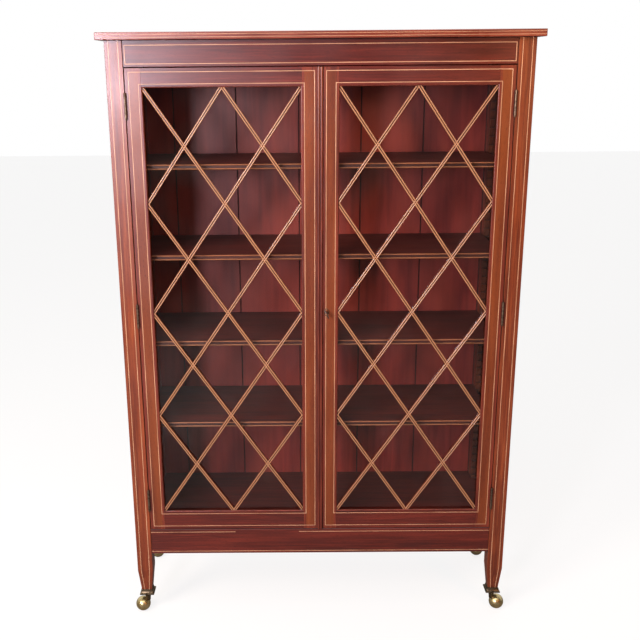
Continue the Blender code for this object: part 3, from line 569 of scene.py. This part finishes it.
NODE_FINISHES = (
    ("*_glass", GLASS),
    ("back_boards", BACKING),
    ("shelf_*", BOARD),
    ("bottom_board", BOARD),
    ("rack_*", RACK),
    ("bearer_*", RACK),
    ("*_socket", BRONZE),
    ("*_hood", BRASS),
    ("*_wheel", BRASS),
    ("key", STEEL),
    ("*_hinge_[123]", OLD_BRASS),
    ("*_bolt", OLD_BRASS),
    ("top_board", TOP),
    ("*_lattice", LEVEL),
    ("*_rail", LEVEL),
    ("*_front_leg", LEG),
    ("*", UPRIGHT),
)


def banded_stile(name):
    """Mahogany with a warmer band between the stile's two strings."""
    side = name.split("_")[0]
    near, far = sorted(abs(x) for x in door_sight(side)[:2])
    low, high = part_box(name)
    if "meeting" in name:
        inner, outer = MEETING_INSET[side], near - SIGHT_INSET
    else:
        inner, outer = far + SIGHT_INSET, max(abs(low.x), abs(high.x)) - STRING_INSET
    bottom, top = low.z + STRING_INSET, high.z - STRING_INSET
    band = ((inner + outer) / 2, (outer - inner) / 2, bottom, top)
    return polished_wood("banded_" + name, "Z", MAHOGANY, 0.34, 0.15, band)


def finish_nodes():
    """Give every node of the frame its finish; the pieces that replace some come later."""
    for name, item in frame["nodes"].items():
        if name.endswith("_stile"):
            finish = banded_stile(name)
        else:
            finish = next(made for kind, made in NODE_FINISHES if fnmatch(name, kind))
        item.data.materials.clear()
        item.data.materials.append(finish)


# ---------------------------------------------------------------- inlaid stringing

STRING_WIDTH = 1.8 * MM
STRING_PROUD = 0.12 * MM     # old boxwood stands a hair above the shrunken ground
STRING_DEEP = 0.5 * MM


def string_section(name, width):
    half = width / 2
    lip = 0.2 * MM
    shoulder = STRING_PROUD - lip / 4
    left = [(-STRING_DEEP, -half), (shoulder, -half), (STRING_PROUD, -half + lip)]
    return section(name, left + [(out, -across) for out, across in reversed(left)])


WIDE_STRING = string_section("string_section", STRING_WIDTH)
FINE_STRING = string_section("fine_string_section", 1.1 * MM)


def rectangle(x_low, x_high, z_low, z_high, y):
    """Four lines that overlap at the corners by half a string."""
    half = STRING_WIDTH / 2
    level = [((x_low - half, y, z), (x_high + half, y, z)) for z in (z_low, z_high)]
    upright = [((x, y, z_low + half), (x, y, z_high - half)) for x in (x_low, x_high)]
    return level + upright


def inlay_case():
    """Strings on the legs, the frieze and the apron, and two fine ones in the top board's edge."""
    lines = []
    for side, _ in SIDES:
        low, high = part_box(side + "_front_leg")
        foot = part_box(side + "_front_castor_socket")[1].z
        middle, half = (low.x + high.x) / 2, (high.x - low.x) / 2
        bend = low.z + STRING_BEND
        for sign in (-1, 1):
            x = middle + sign * (half - LEG_INSET)
            foot_x = middle + sign * FOOT_STRING
            lines.append(((x, low.y, high.z), (x, low.y, bend)))
            lines.append(((x, low.y, bend), (foot_x, low.y + half - FOOT_HALF, foot)))
    low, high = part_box("frieze_rail")
    ends = 5 * MM
    lines += rectangle(low.x + ends, high.x - ends, low.z + 7.3 * MM, high.z - 12 * MM, low.y)
    low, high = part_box("apron_rail")
    bottom, top = low.z + 7 * MM, high.z - 8.6 * MM
    for start, end, z in (
        (low.x, high.x, bottom),
        (low.x, LOST_STRING[0], top),
        (LOST_STRING[1], high.x, top),
    ):
        lines.append(((start, low.y, z), (end, low.y, z)))
    meshes = [moulding("case_strings", lines, WIDE_STRING, OUTWARD, STRING)]

    low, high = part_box("top_board")
    heights = (low.z + 5.5 * MM, high.z - 5.5 * MM)
    end = 2 * MM
    lines = [((low.x + end, low.y, z), (high.x - end, low.y, z)) for z in heights]
    meshes.append(moulding("top_front_strings", lines, FINE_STRING, OUTWARD, STRING))
    for side, sign in SIDES:
        x = sign * high.x
        lines = [((x, low.y + end, z), (x, high.y - end, z)) for z in heights]
        meshes.append(moulding(side + "_top", lines, FINE_STRING, sign * ACROSS, STRING))
    new_piece("case_stringing", joined_mesh("case_stringing", meshes), "case")


def inlay_door(side, sign):
    """A string round the door's edge and one round its opening."""
    name = side + "_door_stringing"
    x_low, x_high, z_low, z_high = door_sight(side)
    low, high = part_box(side + "_door_hinge_stile")
    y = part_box(side + "_door_bottom_rail")[0].y
    hinge_edge = (low.x if side == "left" else high.x) - sign * STRING_INSET
    left, right = sorted((hinge_edge, sign * MEETING_INSET[side]))
    lines = rectangle(left, right, low.z + STRING_INSET, high.z - STRING_INSET, y)
    out = SIGHT_INSET
    lines += rectangle(x_low - out, x_high + out, z_low - out, z_high + out, y)
    new_piece(name, moulding(name, lines, WIDE_STRING, OUTWARD, STRING), side + "_door")


# ---------------------------------------------------------------- glazing bars and beads


def half_turn(steps):
    """Angles from 0 to half a turn, ends included."""
    return [math.pi * k / steps for k in range(steps + 1)]


def reeded_section(width, depth, reed):
    """Two half-round reeds with a sunk flat between them, on a flat back."""
    quirk = 1.5 * MM
    radius = (width / 2 - quirk / 2) / 2
    outline = [(0.0, width / 2), (0.0, -width / 2)]
    for middle in (-(quirk / 2 + radius), quirk / 2 + radius):
        for angle in half_turn(8):
            out = depth - reed + reed * math.sin(angle)
            outline.append((out, middle - radius * math.cos(angle)))
    return section("reeded_section", outline)


def bar_lines(side, y):
    """The lozenge lattice's bars, each cut to the opening and let a little into the frame."""
    x_low, x_high, z_low, z_high = door_sight(side)
    rows = 4
    row = (z_high - z_low) / rows
    slope = 2 * row / (x_high - x_low)
    middle, inside = (x_low + x_high) / 2, (z_low + z_high) / 2
    tenon = 3 * MM
    families = []
    for lean in (1, -1):
        family = []
        for step in range(rows + 1):
            centre = z_low + row * step
            reach = [x_low, x_high]
            for z_limit in (z_low, z_high):
                x_cross = middle + (z_limit - centre) / (lean * slope)
                if x_low < x_cross < x_high:
                    reach[0 if (inside - z_limit) * lean > 0 else 1] = x_cross
            start, end = (Vector((x, y, centre + lean * slope * (x - middle))) for x in reach)
            along = (end - start).normalized() * tenon
            if (end - start).length > 4 * tenon:
                family.append((start - along, end + along))
        families.append(family)
    return families


def glazing_bars(side):
    """The lattice in front of the glass; one family of bars stands a hair above the other."""
    name, node = side + "_glazing_bars", side + "_door_lattice"
    low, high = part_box(node)
    reed = 2.2 * MM
    # Painted highlight: the reeds' fronts are painted pale, fading out part way down the reeds.
    painted_highlight = (low.y + 0.1 * MM, low.y + reed * 0.62, "#BA8660")
    finish = polished_wood(side + "_bar_wood", "Z", BAR_WOOD, 0.32, 0.35, painted_highlight=painted_highlight)
    profile = reeded_section(9.3 * MM, high.y - low.y, reed)
    rising, falling = bar_lines(side, high.y)
    lifted = [[point + OUTWARD * 0.3 * MM for point in line] for line in falling]
    meshes = [moulding("bars", lines, profile, OUTWARD, finish) for lines in (rising, lifted)]
    new_piece(name, joined_mesh(name, meshes), side + "_door", [node])


def quadrant_section(name, size):
    """A quarter-round moulding in the corner between the surface and the line."""
    steps = 6
    angles = [math.pi / 2 * k / steps for k in range(steps + 1)]
    return section(name, [(0.0, 0.0)] + [(size * math.sin(a), size * math.cos(a)) for a in angles])


def frame_lines(x_low, x_high, z_low, z_high, y):
    """An opening's four edges, run round so that a profile's y points into the opening."""
    corners = [(x_low, z_low), (x_low, z_high), (x_high, z_high), (x_high, z_low)]
    points = [Vector((x, y, z)) for x, z in corners]
    return list(zip(points, points[1:] + points[:1]))


def sight_moulding(side):
    """The fine quarter-round worked round the opening, in front of the bars' ends."""
    name = side + "_sight_moulding"
    profile = quadrant_section("sight_section", 2.4 * MM)
    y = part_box(side + "_door_lattice")[0].y + 0.2 * MM
    lines = frame_lines(*door_sight(side), y)
    new_piece(name, moulding(name, lines, profile, OUTWARD, UPRIGHT), side + "_door")


def glass_beads(side):
    """Four beads pinned in the rebate behind the pane, seen when the door is open."""
    name, door = side + "_glass_beads", side + "_door"
    low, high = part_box(side + "_door_glass")
    profile = quadrant_section("bead_section", 6.5 * MM)
    play = 0.7 * MM
    lines = frame_lines(low.x - play, high.x + play, low.z - play, high.z + play, high.y)
    turned_round = [(end, start) for start, end in lines]
    new_piece(name, moulding(name, turned_round, profile, -OUTWARD, UPRIGHT), door)
    places = []
    spacing = 0.14
    for start, end in lines:
        inward = OUTWARD.cross(end - start).normalized()
        count = int((end - start).length / spacing)
        for k in range(count):
            point = start.lerp(end, (k + 0.5) / count) - inward * 3.2 * MM
            point.y = high.y + 5.4 * MM
            places.append((point, -OUTWARD))
    fixings(side + "_bead_pins", places, NAIL, 1.6 * MM, STEEL, door)


# ---------------------------------------------------------------- shelves


def shelf_boards():
    """Each shelf's front edge has a reed at its top and its bottom, with a sunk flat between."""
    for number in range(1, 5):
        node = "shelf_%d" % number
        name = node + "_board"
        low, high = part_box(node)
        reed = (high.z - low.z) / 6
        # Painted highlight: the reeds' fronts are painted pale, fading out toward their foot.
        painted_highlight = (low.y + 0.2 * reed, low.y + 1.2 * reed, "#A2603C")
        finish = polished_wood(node + "_wood", "X", SHELF_WOOD, 0.48, 0.0, painted_highlight=painted_highlight)
        outline = [(-high.y, high.z), (-high.y, low.z)]
        for middle in (low.z + reed, high.z - reed):
            for angle in half_turn(8):
                y = low.y + reed * 1.5 * (1 - math.sin(angle))
                outline.append((-y, middle - reed * 0.94 * math.cos(angle)))
        line = [((high.x, 0, 0), (low.x, 0, 0))]
        mesh = moulding(name, line, section("shelf_section", outline), OUTWARD, finish)
        new_piece(name, mesh, node, [node])


def bottom_fillet():
    """A strip glued under the bottom board, close behind the apron, that shuts the gap between."""
    apron_low, apron_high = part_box("apron_rail")
    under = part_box("bottom_board")[0].z
    low = (apron_low.x, apron_high.y + 0.1 * MM, under - 20 * MM)
    high = (apron_high.x, apron_high.y + 20 * MM, under - 0.8 * MM)
    shape = bmesh.new()
    add_block(shape, low, high, 0.6 * MM)
    shaped_piece("bottom_board_fillet", shape, LEVEL, "case")


# ---------------------------------------------------------------- hinges


def knuckle_outline(length):
    """A barrel's knuckle with softened ends."""
    soft = 0.35 * MM
    radius = 3.0 * MM
    return [
        (0.0, 0.0),
        (radius - soft, 0.0),
        (radius, soft),
        (radius, length - soft),
        (radius - soft, length),
        (0.0, length),
    ]


def hinges(side, sign):
    """Butt hinges: alternate knuckles on one pin, a leaf let into the door and one into the leg."""
    nodes = ["%s_hinge_%d" % (side, number) for number in (1, 2, 3)]
    knuckles = 5
    gap = 0.25 * MM
    # for each leaf: its shape, start beside the pin, thickness, screws, and way its screws face
    on_door = (bmesh.new(), -0.7 * MM, 0.7 * MM, [], 1)
    on_leg = (bmesh.new(), 0.3 * MM, 1.0 * MM, [], -1)
    for node in nodes:
        low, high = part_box(node)
        pin_x, pin_y = sign * (abs(low.x) + abs(high.x)) / 2, low.y + 3.0 * MM
        step = (high.z - low.z) / knuckles
        for k in range(knuckles):
            shape, start, thick, _, _ = on_leg if k % 2 else on_door
            z = low.z + step * k + gap / 2
            knuckle = knuckle_outline(step - gap)
            take_in(shape, turned_shape(knuckle, (pin_x, pin_y, z), UP, 20))
            near, far = sorted((pin_x + sign * start, pin_x + sign * (start + thick)))
            add_block(shape, (near, pin_y, z), (far, pin_y + 4.5 * MM, z + step - gap))
        for shape, start, thick, screws, facing in (on_door, on_leg):
            leaf = (pin_x + sign * start, pin_x + sign * (start + thick))
            leaf_low = (min(leaf), pin_y + 3.6 * MM, low.z + 0.3 * MM)
            add_block(shape, leaf_low, (max(leaf), high.y, high.z - 0.3 * MM))
            face = leaf[1 if facing > 0 else 0]
            for share, depth in ((0.16, 0.5), (0.5, 0.62), (0.84, 0.5)):
                point = (
                    face - sign * facing * 0.12 * MM,
                    pin_y + (high.y - pin_y) * depth + 2 * MM,
                    low.z + (high.z - low.z) * share,
                )
                screws.append((point, (sign * facing, 0, 0)))
        for end, up in ((high.z, 1), (low.z, -1)):
            cap = in_mm((0.0, -0.2), (3.1, -0.2), (3.1, 0.3), (2.2, 0.9), (0.0, 1.15))
            take_in(on_door[0], turned_shape(cap, (pin_x, pin_y, end), (0, 0, up), 20))
    door = side + "_door"
    shaped_piece(side + "_door_hinges", on_door[0], OLD_BRASS, door, nodes)
    shaped_piece(side + "_leg_hinge_leaves", on_leg[0], OLD_BRASS, "case")
    for name, screws, body in (
        (side + "_door_hinge_screws", on_door[3], door),
        (side + "_leg_hinge_screws", on_leg[3], "case"),
    ):
        fixings(name, screws, SCREW, 4.6 * MM, OLD_BRASS, body)


# ---------------------------------------------------------------- lock, key, bolt


def escutcheon():
    """An oval brass rim let in round the keyhole."""
    axis = Vector(joint("key_turn")["pos_m"])
    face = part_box("right_door_hinge_stile")[0].y
    centre = Vector((axis.x, face, axis.z + 0.5 * MM))
    shape = bmesh.new()
    oval_ring(shape, centre, ACROSS, -OUTWARD, 5.4 * MM, 9.6 * MM, 1.15 * MM, 0.7)
    shaped_piece("keyhole_escutcheon", shape, OLD_BRASS, "right_door")


def key():
    """An oval bow on a collared shank, with a flat bit and a step in it."""
    low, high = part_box("key")
    axis = joint("key_turn")["pos_m"]
    lean = math.radians(-25)
    bow_wide, bow_high, wire = 17 * MM, 26 * MM, 1.8 * MM
    shape = bmesh.new()
    oval_ring(
        shape, Vector((0, low.y + bow_wide / 2, 0)), -OUTWARD, ACROSS,
        bow_wide / 2 - wire, bow_high / 2 - wire, wire, 0.8,
    )
    start = low.y + bow_wide - wire
    length = high.y - start
    r = 1.75 * MM
    outline = [(0.0, 0.0), (r * 1.1, 0.0), (r * 1.5, 0.8 * MM), (r * 1.5, 1.8 * MM), (r, 2.4 * MM)]
    outline += [(r, 3.6 * MM), (r * 1.3, 4.0 * MM), (r * 1.3, 4.8 * MM), (r, 5.2 * MM)]
    outline += [(r, length - 0.4 * MM), (r - 0.4 * MM, length), (0.0, length)]
    take_in(shape, turned_shape(outline, (0, start, 0), -OUTWARD, 20))
    bit_back = high.y - 0.3 * MM
    bit_front = bit_back - 3.2 * MM
    half = 0.7 * MM
    for reach, step in ((7.5 * MM, 0.0), (5.4 * MM, 1.1 * MM)):
        low_corner = (-half, bit_front + step, -reach)
        add_block(shape, low_corner, (half, bit_back - step, 0.0), 0.15 * MM)
    placed = Matrix.Translation((axis[0], 0, axis[2])) @ Matrix.Rotation(lean, 4, "Y")
    bmesh.ops.transform(shape, matrix=placed, verts=shape.verts)
    shaped_piece("steel_key", shape, STEEL, "key", ["key"])


def lock():
    """A cut lock let in from behind: its cap, its edge plate with the bolt's slot, and screws."""
    stile_low, stile_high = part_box("right_door_meeting_stile")
    bolt_low, bolt_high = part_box("lock_bolt")
    edge, back = stile_low.x, stile_high.y
    right = edge + 27 * MM
    cap_low = joint("key_turn")["pos_m"][2] - 12.5 * MM
    cap_high = bolt_high.z + 1.5 * MM
    shape = bmesh.new()
    add_block(
        shape,
        (edge + 0.2 * MM, back - 0.6 * MM, cap_low),
        (right, back + 0.5 * MM, cap_high),
        0.3 * MM,
    )
    front = bolt_low.y - 3.5 * MM
    for y, z_low, z_high in (
        (front, cap_low, bolt_low.z - 0.8 * MM),
        (front, bolt_high.z + 0.8 * MM, cap_high + 6 * MM),
        (bolt_high.y + 0.5 * MM, bolt_low.z - 1 * MM, bolt_high.z + 1 * MM),
    ):
        add_block(shape, (edge - 0.3 * MM, y, z_low), (edge + 0.5 * MM, back + 0.4 * MM, z_high))
    shaped_piece("lock_case", shape, OLD_BRASS, "right_door")
    places = []
    for x in (edge + 4 * MM, right - 4 * MM):
        for z in (cap_low + 4 * MM, cap_high - 4 * MM):
            places.append(((x, back + 0.5 * MM, z), -OUTWARD))
    fixings("lock_screws", places, SCREW, 3.4 * MM, STEEL, "right_door")


def door_bolt_straps():
    """Two brass straps, each with a screwed ear at either end, that hold the left door's bolt."""
    low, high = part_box("left_door_bolt")
    play, thick, tall, ear = 0.35 * MM, 0.9 * MM, 7 * MM, 6 * MM
    face = low.y - 0.3 * MM
    out = low.y + 4 * MM + play
    left, right = low.x - play - thick, high.x + play
    shape = bmesh.new()
    places = []
    for z in (high.z - 14 * MM, high.z - 42 * MM):
        top = z + tall
        add_block(shape, (left, out, z), (right + thick, out + thick, top), 0.2 * MM)
        for start, ear_low, screw in ((left, left - ear, 3 * MM), (right, right, 4 * MM)):
            ear_high = ear_low + ear + thick
            ear_face = face + 1.1 * MM
            add_block(shape, (start, face + 0.4 * MM, z), (start + thick, out + thick, top))
            add_block(
                shape, (ear_low, face + 0.3 * MM, z), (ear_high, ear_face, top), 0.2 * MM
            )
            places.append(((ear_low + screw, ear_face, z + tall / 2), -OUTWARD))
    shaped_piece("door_bolt_straps", shape, OLD_BRASS, "left_door")
    fixings("door_bolt_screws", places, SCREW, 3.2 * MM, OLD_BRASS, "left_door")


# ---------------------------------------------------------------- castors


def half_ball(radius, gap, centre, axis):
    """A half ball with its flat face a gap from the centre and a turned line near the seam."""
    steps = 14
    groove = 0.35 * MM
    outline = [(0.0, gap), (radius * 0.985, gap)]
    for k in range(1, steps + 1):
        angle = math.pi / 2 * k / steps
        reach = radius * math.cos(angle) - (groove if k == 2 else 0.0)
        outline.append((max(reach, 0.0), gap + (radius - gap) * math.sin(angle)))
    return turned_shape(outline, centre, axis, 48)


def castor(name):
    """A ball castor: bronzed socket, neck with a ball-race ring, split brass ball on its axle."""
    socket, hood, wheel = (name + "_" + part for part in ("socket", "hood", "wheel"))
    low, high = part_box(socket)
    x, y = (low.x + high.x) / 2, (low.y + high.y) / 2
    plate = (high.x - low.x) / 2
    foot = 15.2 * MM
    root = math.sqrt(2)         # a square turned in four steps: its corners are this far out
    flare_low = low.z + 3.4 * MM
    flare = plate - 1.5 * MM
    outline = [(0.0, low.z), (plate * root, low.z), (plate * root, flare_low)]
    steps = 6
    for k in range(1, steps + 1):
        share = k / steps
        half = flare - (flare - foot) * math.sin(share * math.pi / 2)
        outline.append((half * root, flare_low + (high.z - flare_low) * share ** 1.4))
    outline.append((0.0, high.z))
    shape = turned_shape(outline, (x, y, 0), UP, 4, math.pi / 4)
    sharp = [e for e in shape.edges if e.calc_face_angle(0) > math.radians(50)]
    bmesh.ops.bevel(shape, geom=sharp, offset=0.5 * MM, segments=2, profile=0.5, affect="EDGES")
    shaped_piece(socket + "_piece", shape, BRONZE, "case", [socket], 40)

    body = name.replace("castor", "wheel")
    roll = joint(body + "_roll")
    centre, axle = Vector(roll["pos_m"]), Vector(roll["axis"]).normalized()
    radius = (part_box(wheel)[1].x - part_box(wheel)[0].x) / 2
    gap = 0.25 * MM
    shape = half_ball(radius, gap, centre, axle)
    button = in_mm((0.0, 0.0), (3.4, 0.0), (3.4, 0.7), (2.4, 1.3), (0.0, 1.5))
    take_in(shape, turned_shape(button, centre + axle * (radius - 0.75 * MM), axle, 20))
    shaped_piece(wheel + "_piece", shape, BRASS, body, [wheel])

    shape = half_ball(radius, gap, centre, -axle)
    pin = in_mm((0.0, 0.0), (2.9, 0.0), (2.9, 0.5), (0.0, 0.5))
    take_in(shape, turned_shape(pin, centre - axle * gap, axle, 20))
    shaped_piece(hood + "_ball", shape, BRASS, name, [hood])

    neck_low = radius + 6.5 * MM / math.tan(math.radians(30)) + 1.2 * MM
    tall = low.z - 0.3 * MM - neck_low
    neck = [(0.0, 0.0), (6.0 * MM, 0.0), (6.6 * MM, 1.0 * MM), (6.9 * MM, tall * 0.22)]
    neck += [(7.4 * MM, tall * 0.40), (8.4 * MM, tall * 0.58), (9.6 * MM, tall * 0.72)]
    neck += [(11.5 * MM, tall * 0.80), (11.5 * MM, tall - 0.4 * MM), (11.1 * MM, tall), (0.0, tall)]
    shape = turned_shape(neck, (x, y, neck_low), UP)
    shaped_piece(hood + "_neck", shape, BRONZE, name)


# ---------------------------------------------------------------- back and inside


def back_nails():
    """Cut nails at the top, bottom board and foot of each back board, seen from behind."""
    low, high = back_low, back_high
    bottom_low, bottom_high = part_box("bottom_board")
    heights = (high.z - 18 * MM, (bottom_low.z + bottom_high.z) / 2, low.z + 18 * MM)
    places = []
    for board in range(int((high.x - low.x) / BACK_BOARD + 1)):
        right = high.x - board * BACK_BOARD
        left = max(right - BACK_BOARD, low.x)
        if right - left < 30 * MM:
            continue
        for z in heights:
            for share in (0.2, 0.8):
                places.append(((left + (right - left) * share, high.y, z), -OUTWARD))
    fixings("back_board_nails", places, NAIL, 4.5 * MM, STEEL, "case")


def rack_screws():
    """Screws that hold the four racks to the panels."""
    places = []
    for side, sign in SIDES:
        for end in ENDS:
            low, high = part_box("rack_%s_%s" % (side, end))
            x = low.x if sign > 0 else high.x
            y = low.y + 6 * MM if end == "front" else high.y - 6 * MM
            for share in (0.03, 0.34, 0.66, 0.97):
                places.append(((x, y, low.z + (high.z - low.z) * share), (-sign, 0, 0)))
    fixings("rack_screws", places, SCREW, 5 * MM, STEEL, "case", 3)


finish_nodes()
inlay_case()
for side_name, side_sign in SIDES:
    inlay_door(side_name, side_sign)
    glazing_bars(side_name)
    sight_moulding(side_name)
    glass_beads(side_name)
    hinges(side_name, side_sign)
    for end_name in ENDS:
        castor("%s_%s_castor" % (side_name, end_name))
shelf_boards()
bottom_fillet()
escutcheon()
key()
lock()
door_bolt_straps()
back_nails()
rack_screws()
for spent in patterns:
    bpy.data.objects.remove(spent, do_unlink=True)

# ---------------------------------------------------------------- floor, light and camera


def light_room():
    """White where the eye looks; a dim room in the polish and the glass, darker above."""
    world = bpy.data.worlds.new("studio_room")
    bpy.context.scene.world = world
    world.use_nodes = True
    tree = world.node_tree
    parts = add(tree, "ShaderNodeSeparateXYZ", add(tree, "ShaderNodeTexCoord").outputs["Generated"])
    share = add(tree, "ShaderNodeMapRange", parts.outputs["Z"], -0.30, 0.0, 0.0, 1.0)
    room = add(tree, "ShaderNodeMixRGB", share, linear("#6E665E"), linear("#2A2E38"))
    share = add(tree, "ShaderNodeMapRange", parts.outputs["Y"], -0.15, 0.10, 0.0, 1.0)
    lit = add(tree, "ShaderNodeMixRGB", share, room, linear("#E8E8E8"))
    seen = add(tree, "ShaderNodeLightPath").outputs["Is Camera Ray"]
    colour = add(tree, "ShaderNodeMixRGB", seen, lit, linear("#FFFFFF"))
    fill(tree.nodes["Background"], Color=colour)


def studio():
    """A floor that looks white but throws little light back, and four soft lights."""
    shape = bmesh.new()
    bmesh.ops.create_grid(shape, x_segments=1, y_segments=1, size=14.0)
    mesh = bpy.data.meshes.new("studio_floor")
    shape.to_mesh(mesh)
    shape.free()
    in_scene("studio_floor", mesh)
    material, tree, shader, place = new_finish("studio_floor_white")
    patches = mottle(tree, place, (1.5, 1.5, 1.5))
    tone = add(tree, "ShaderNodeMixRGB", patches, linear("#74716E"), linear("#787572"))
    seen = add(tree, "ShaderNodeLightPath").outputs["Is Camera Ray"]
    glow = add(tree, "ShaderNodeMapRange", seen, 0.0, 1.0, 0.0, 0.80)
    fill(shader, Base_Color=tone, Roughness=0.8)
    fill(shader, Emission_Color=linear("#FFFFFF"), Emission_Strength=glow)
    mesh.materials.append(material)

    light_room()
    for name, place, aim, size, power, colour in (
        ("window", (-2.3, -2.3, 2.35), (-0.1, 0.1, 1.50), (1.1, 1.1), 108, "#FFF2E8"),
        ("haze", (-1.42, -3.3, 1.58), (-0.45, -0.1, 1.4), (0.46, 0.9), 84, "#F0EAFC"),
        ("lamp", (1.9, -2.8, 1.8), (0.5, -0.1, 1.45), (0.6, 0.8), 26, "#FFA864"),
        ("ceiling", (0.0, -1.6, 3.4), (0.0, 0.0, 0.8), (3.0, 2.0), 50, "#FFFFFF"),
    ):
        lamp = bpy.data.lights.new(name, "AREA")
        lamp.shape = "RECTANGLE"
        lamp.size, lamp.size_y = size
        lamp.energy = power
        lamp.color = linear(colour)[:3]
        holder = in_scene(name, lamp)
        holder.location = place
        toward = Vector(aim) - Vector(place)
        holder.rotation_euler = toward.to_track_quat("-Z", "Y").to_euler()


def camera():
    """Eye level in front of the case, a little left of its middle, looking slightly down."""
    lens = bpy.data.cameras.new("camera")
    lens.lens = 49.1
    lens.sensor_width = 36.0
    lens.shift_x = 0.0455
    place = (-0.068, -2.415, 1.567)
    yaw, pitch, roll = (math.radians(a) for a in (-0.27, 16.22, -0.50))
    forward = Vector(
        (math.sin(yaw) * math.cos(pitch), math.cos(yaw) * math.cos(pitch), -math.sin(pitch))
    )
    right = Vector((math.cos(yaw), -math.sin(yaw), 0))
    up = right.cross(forward)
    right, up = (
        right * math.cos(roll) + up * math.sin(roll),
        up * math.cos(roll) - right * math.sin(roll),
    )
    axes = Matrix((right, up, -forward)).transposed().to_4x4()
    eye = in_scene("camera", lens)
    eye.matrix_world = Matrix.Translation(place) @ axes
    bpy.context.scene.camera = eye


studio()
camera()
bpy.context.scene.view_settings.view_transform = "Standard"
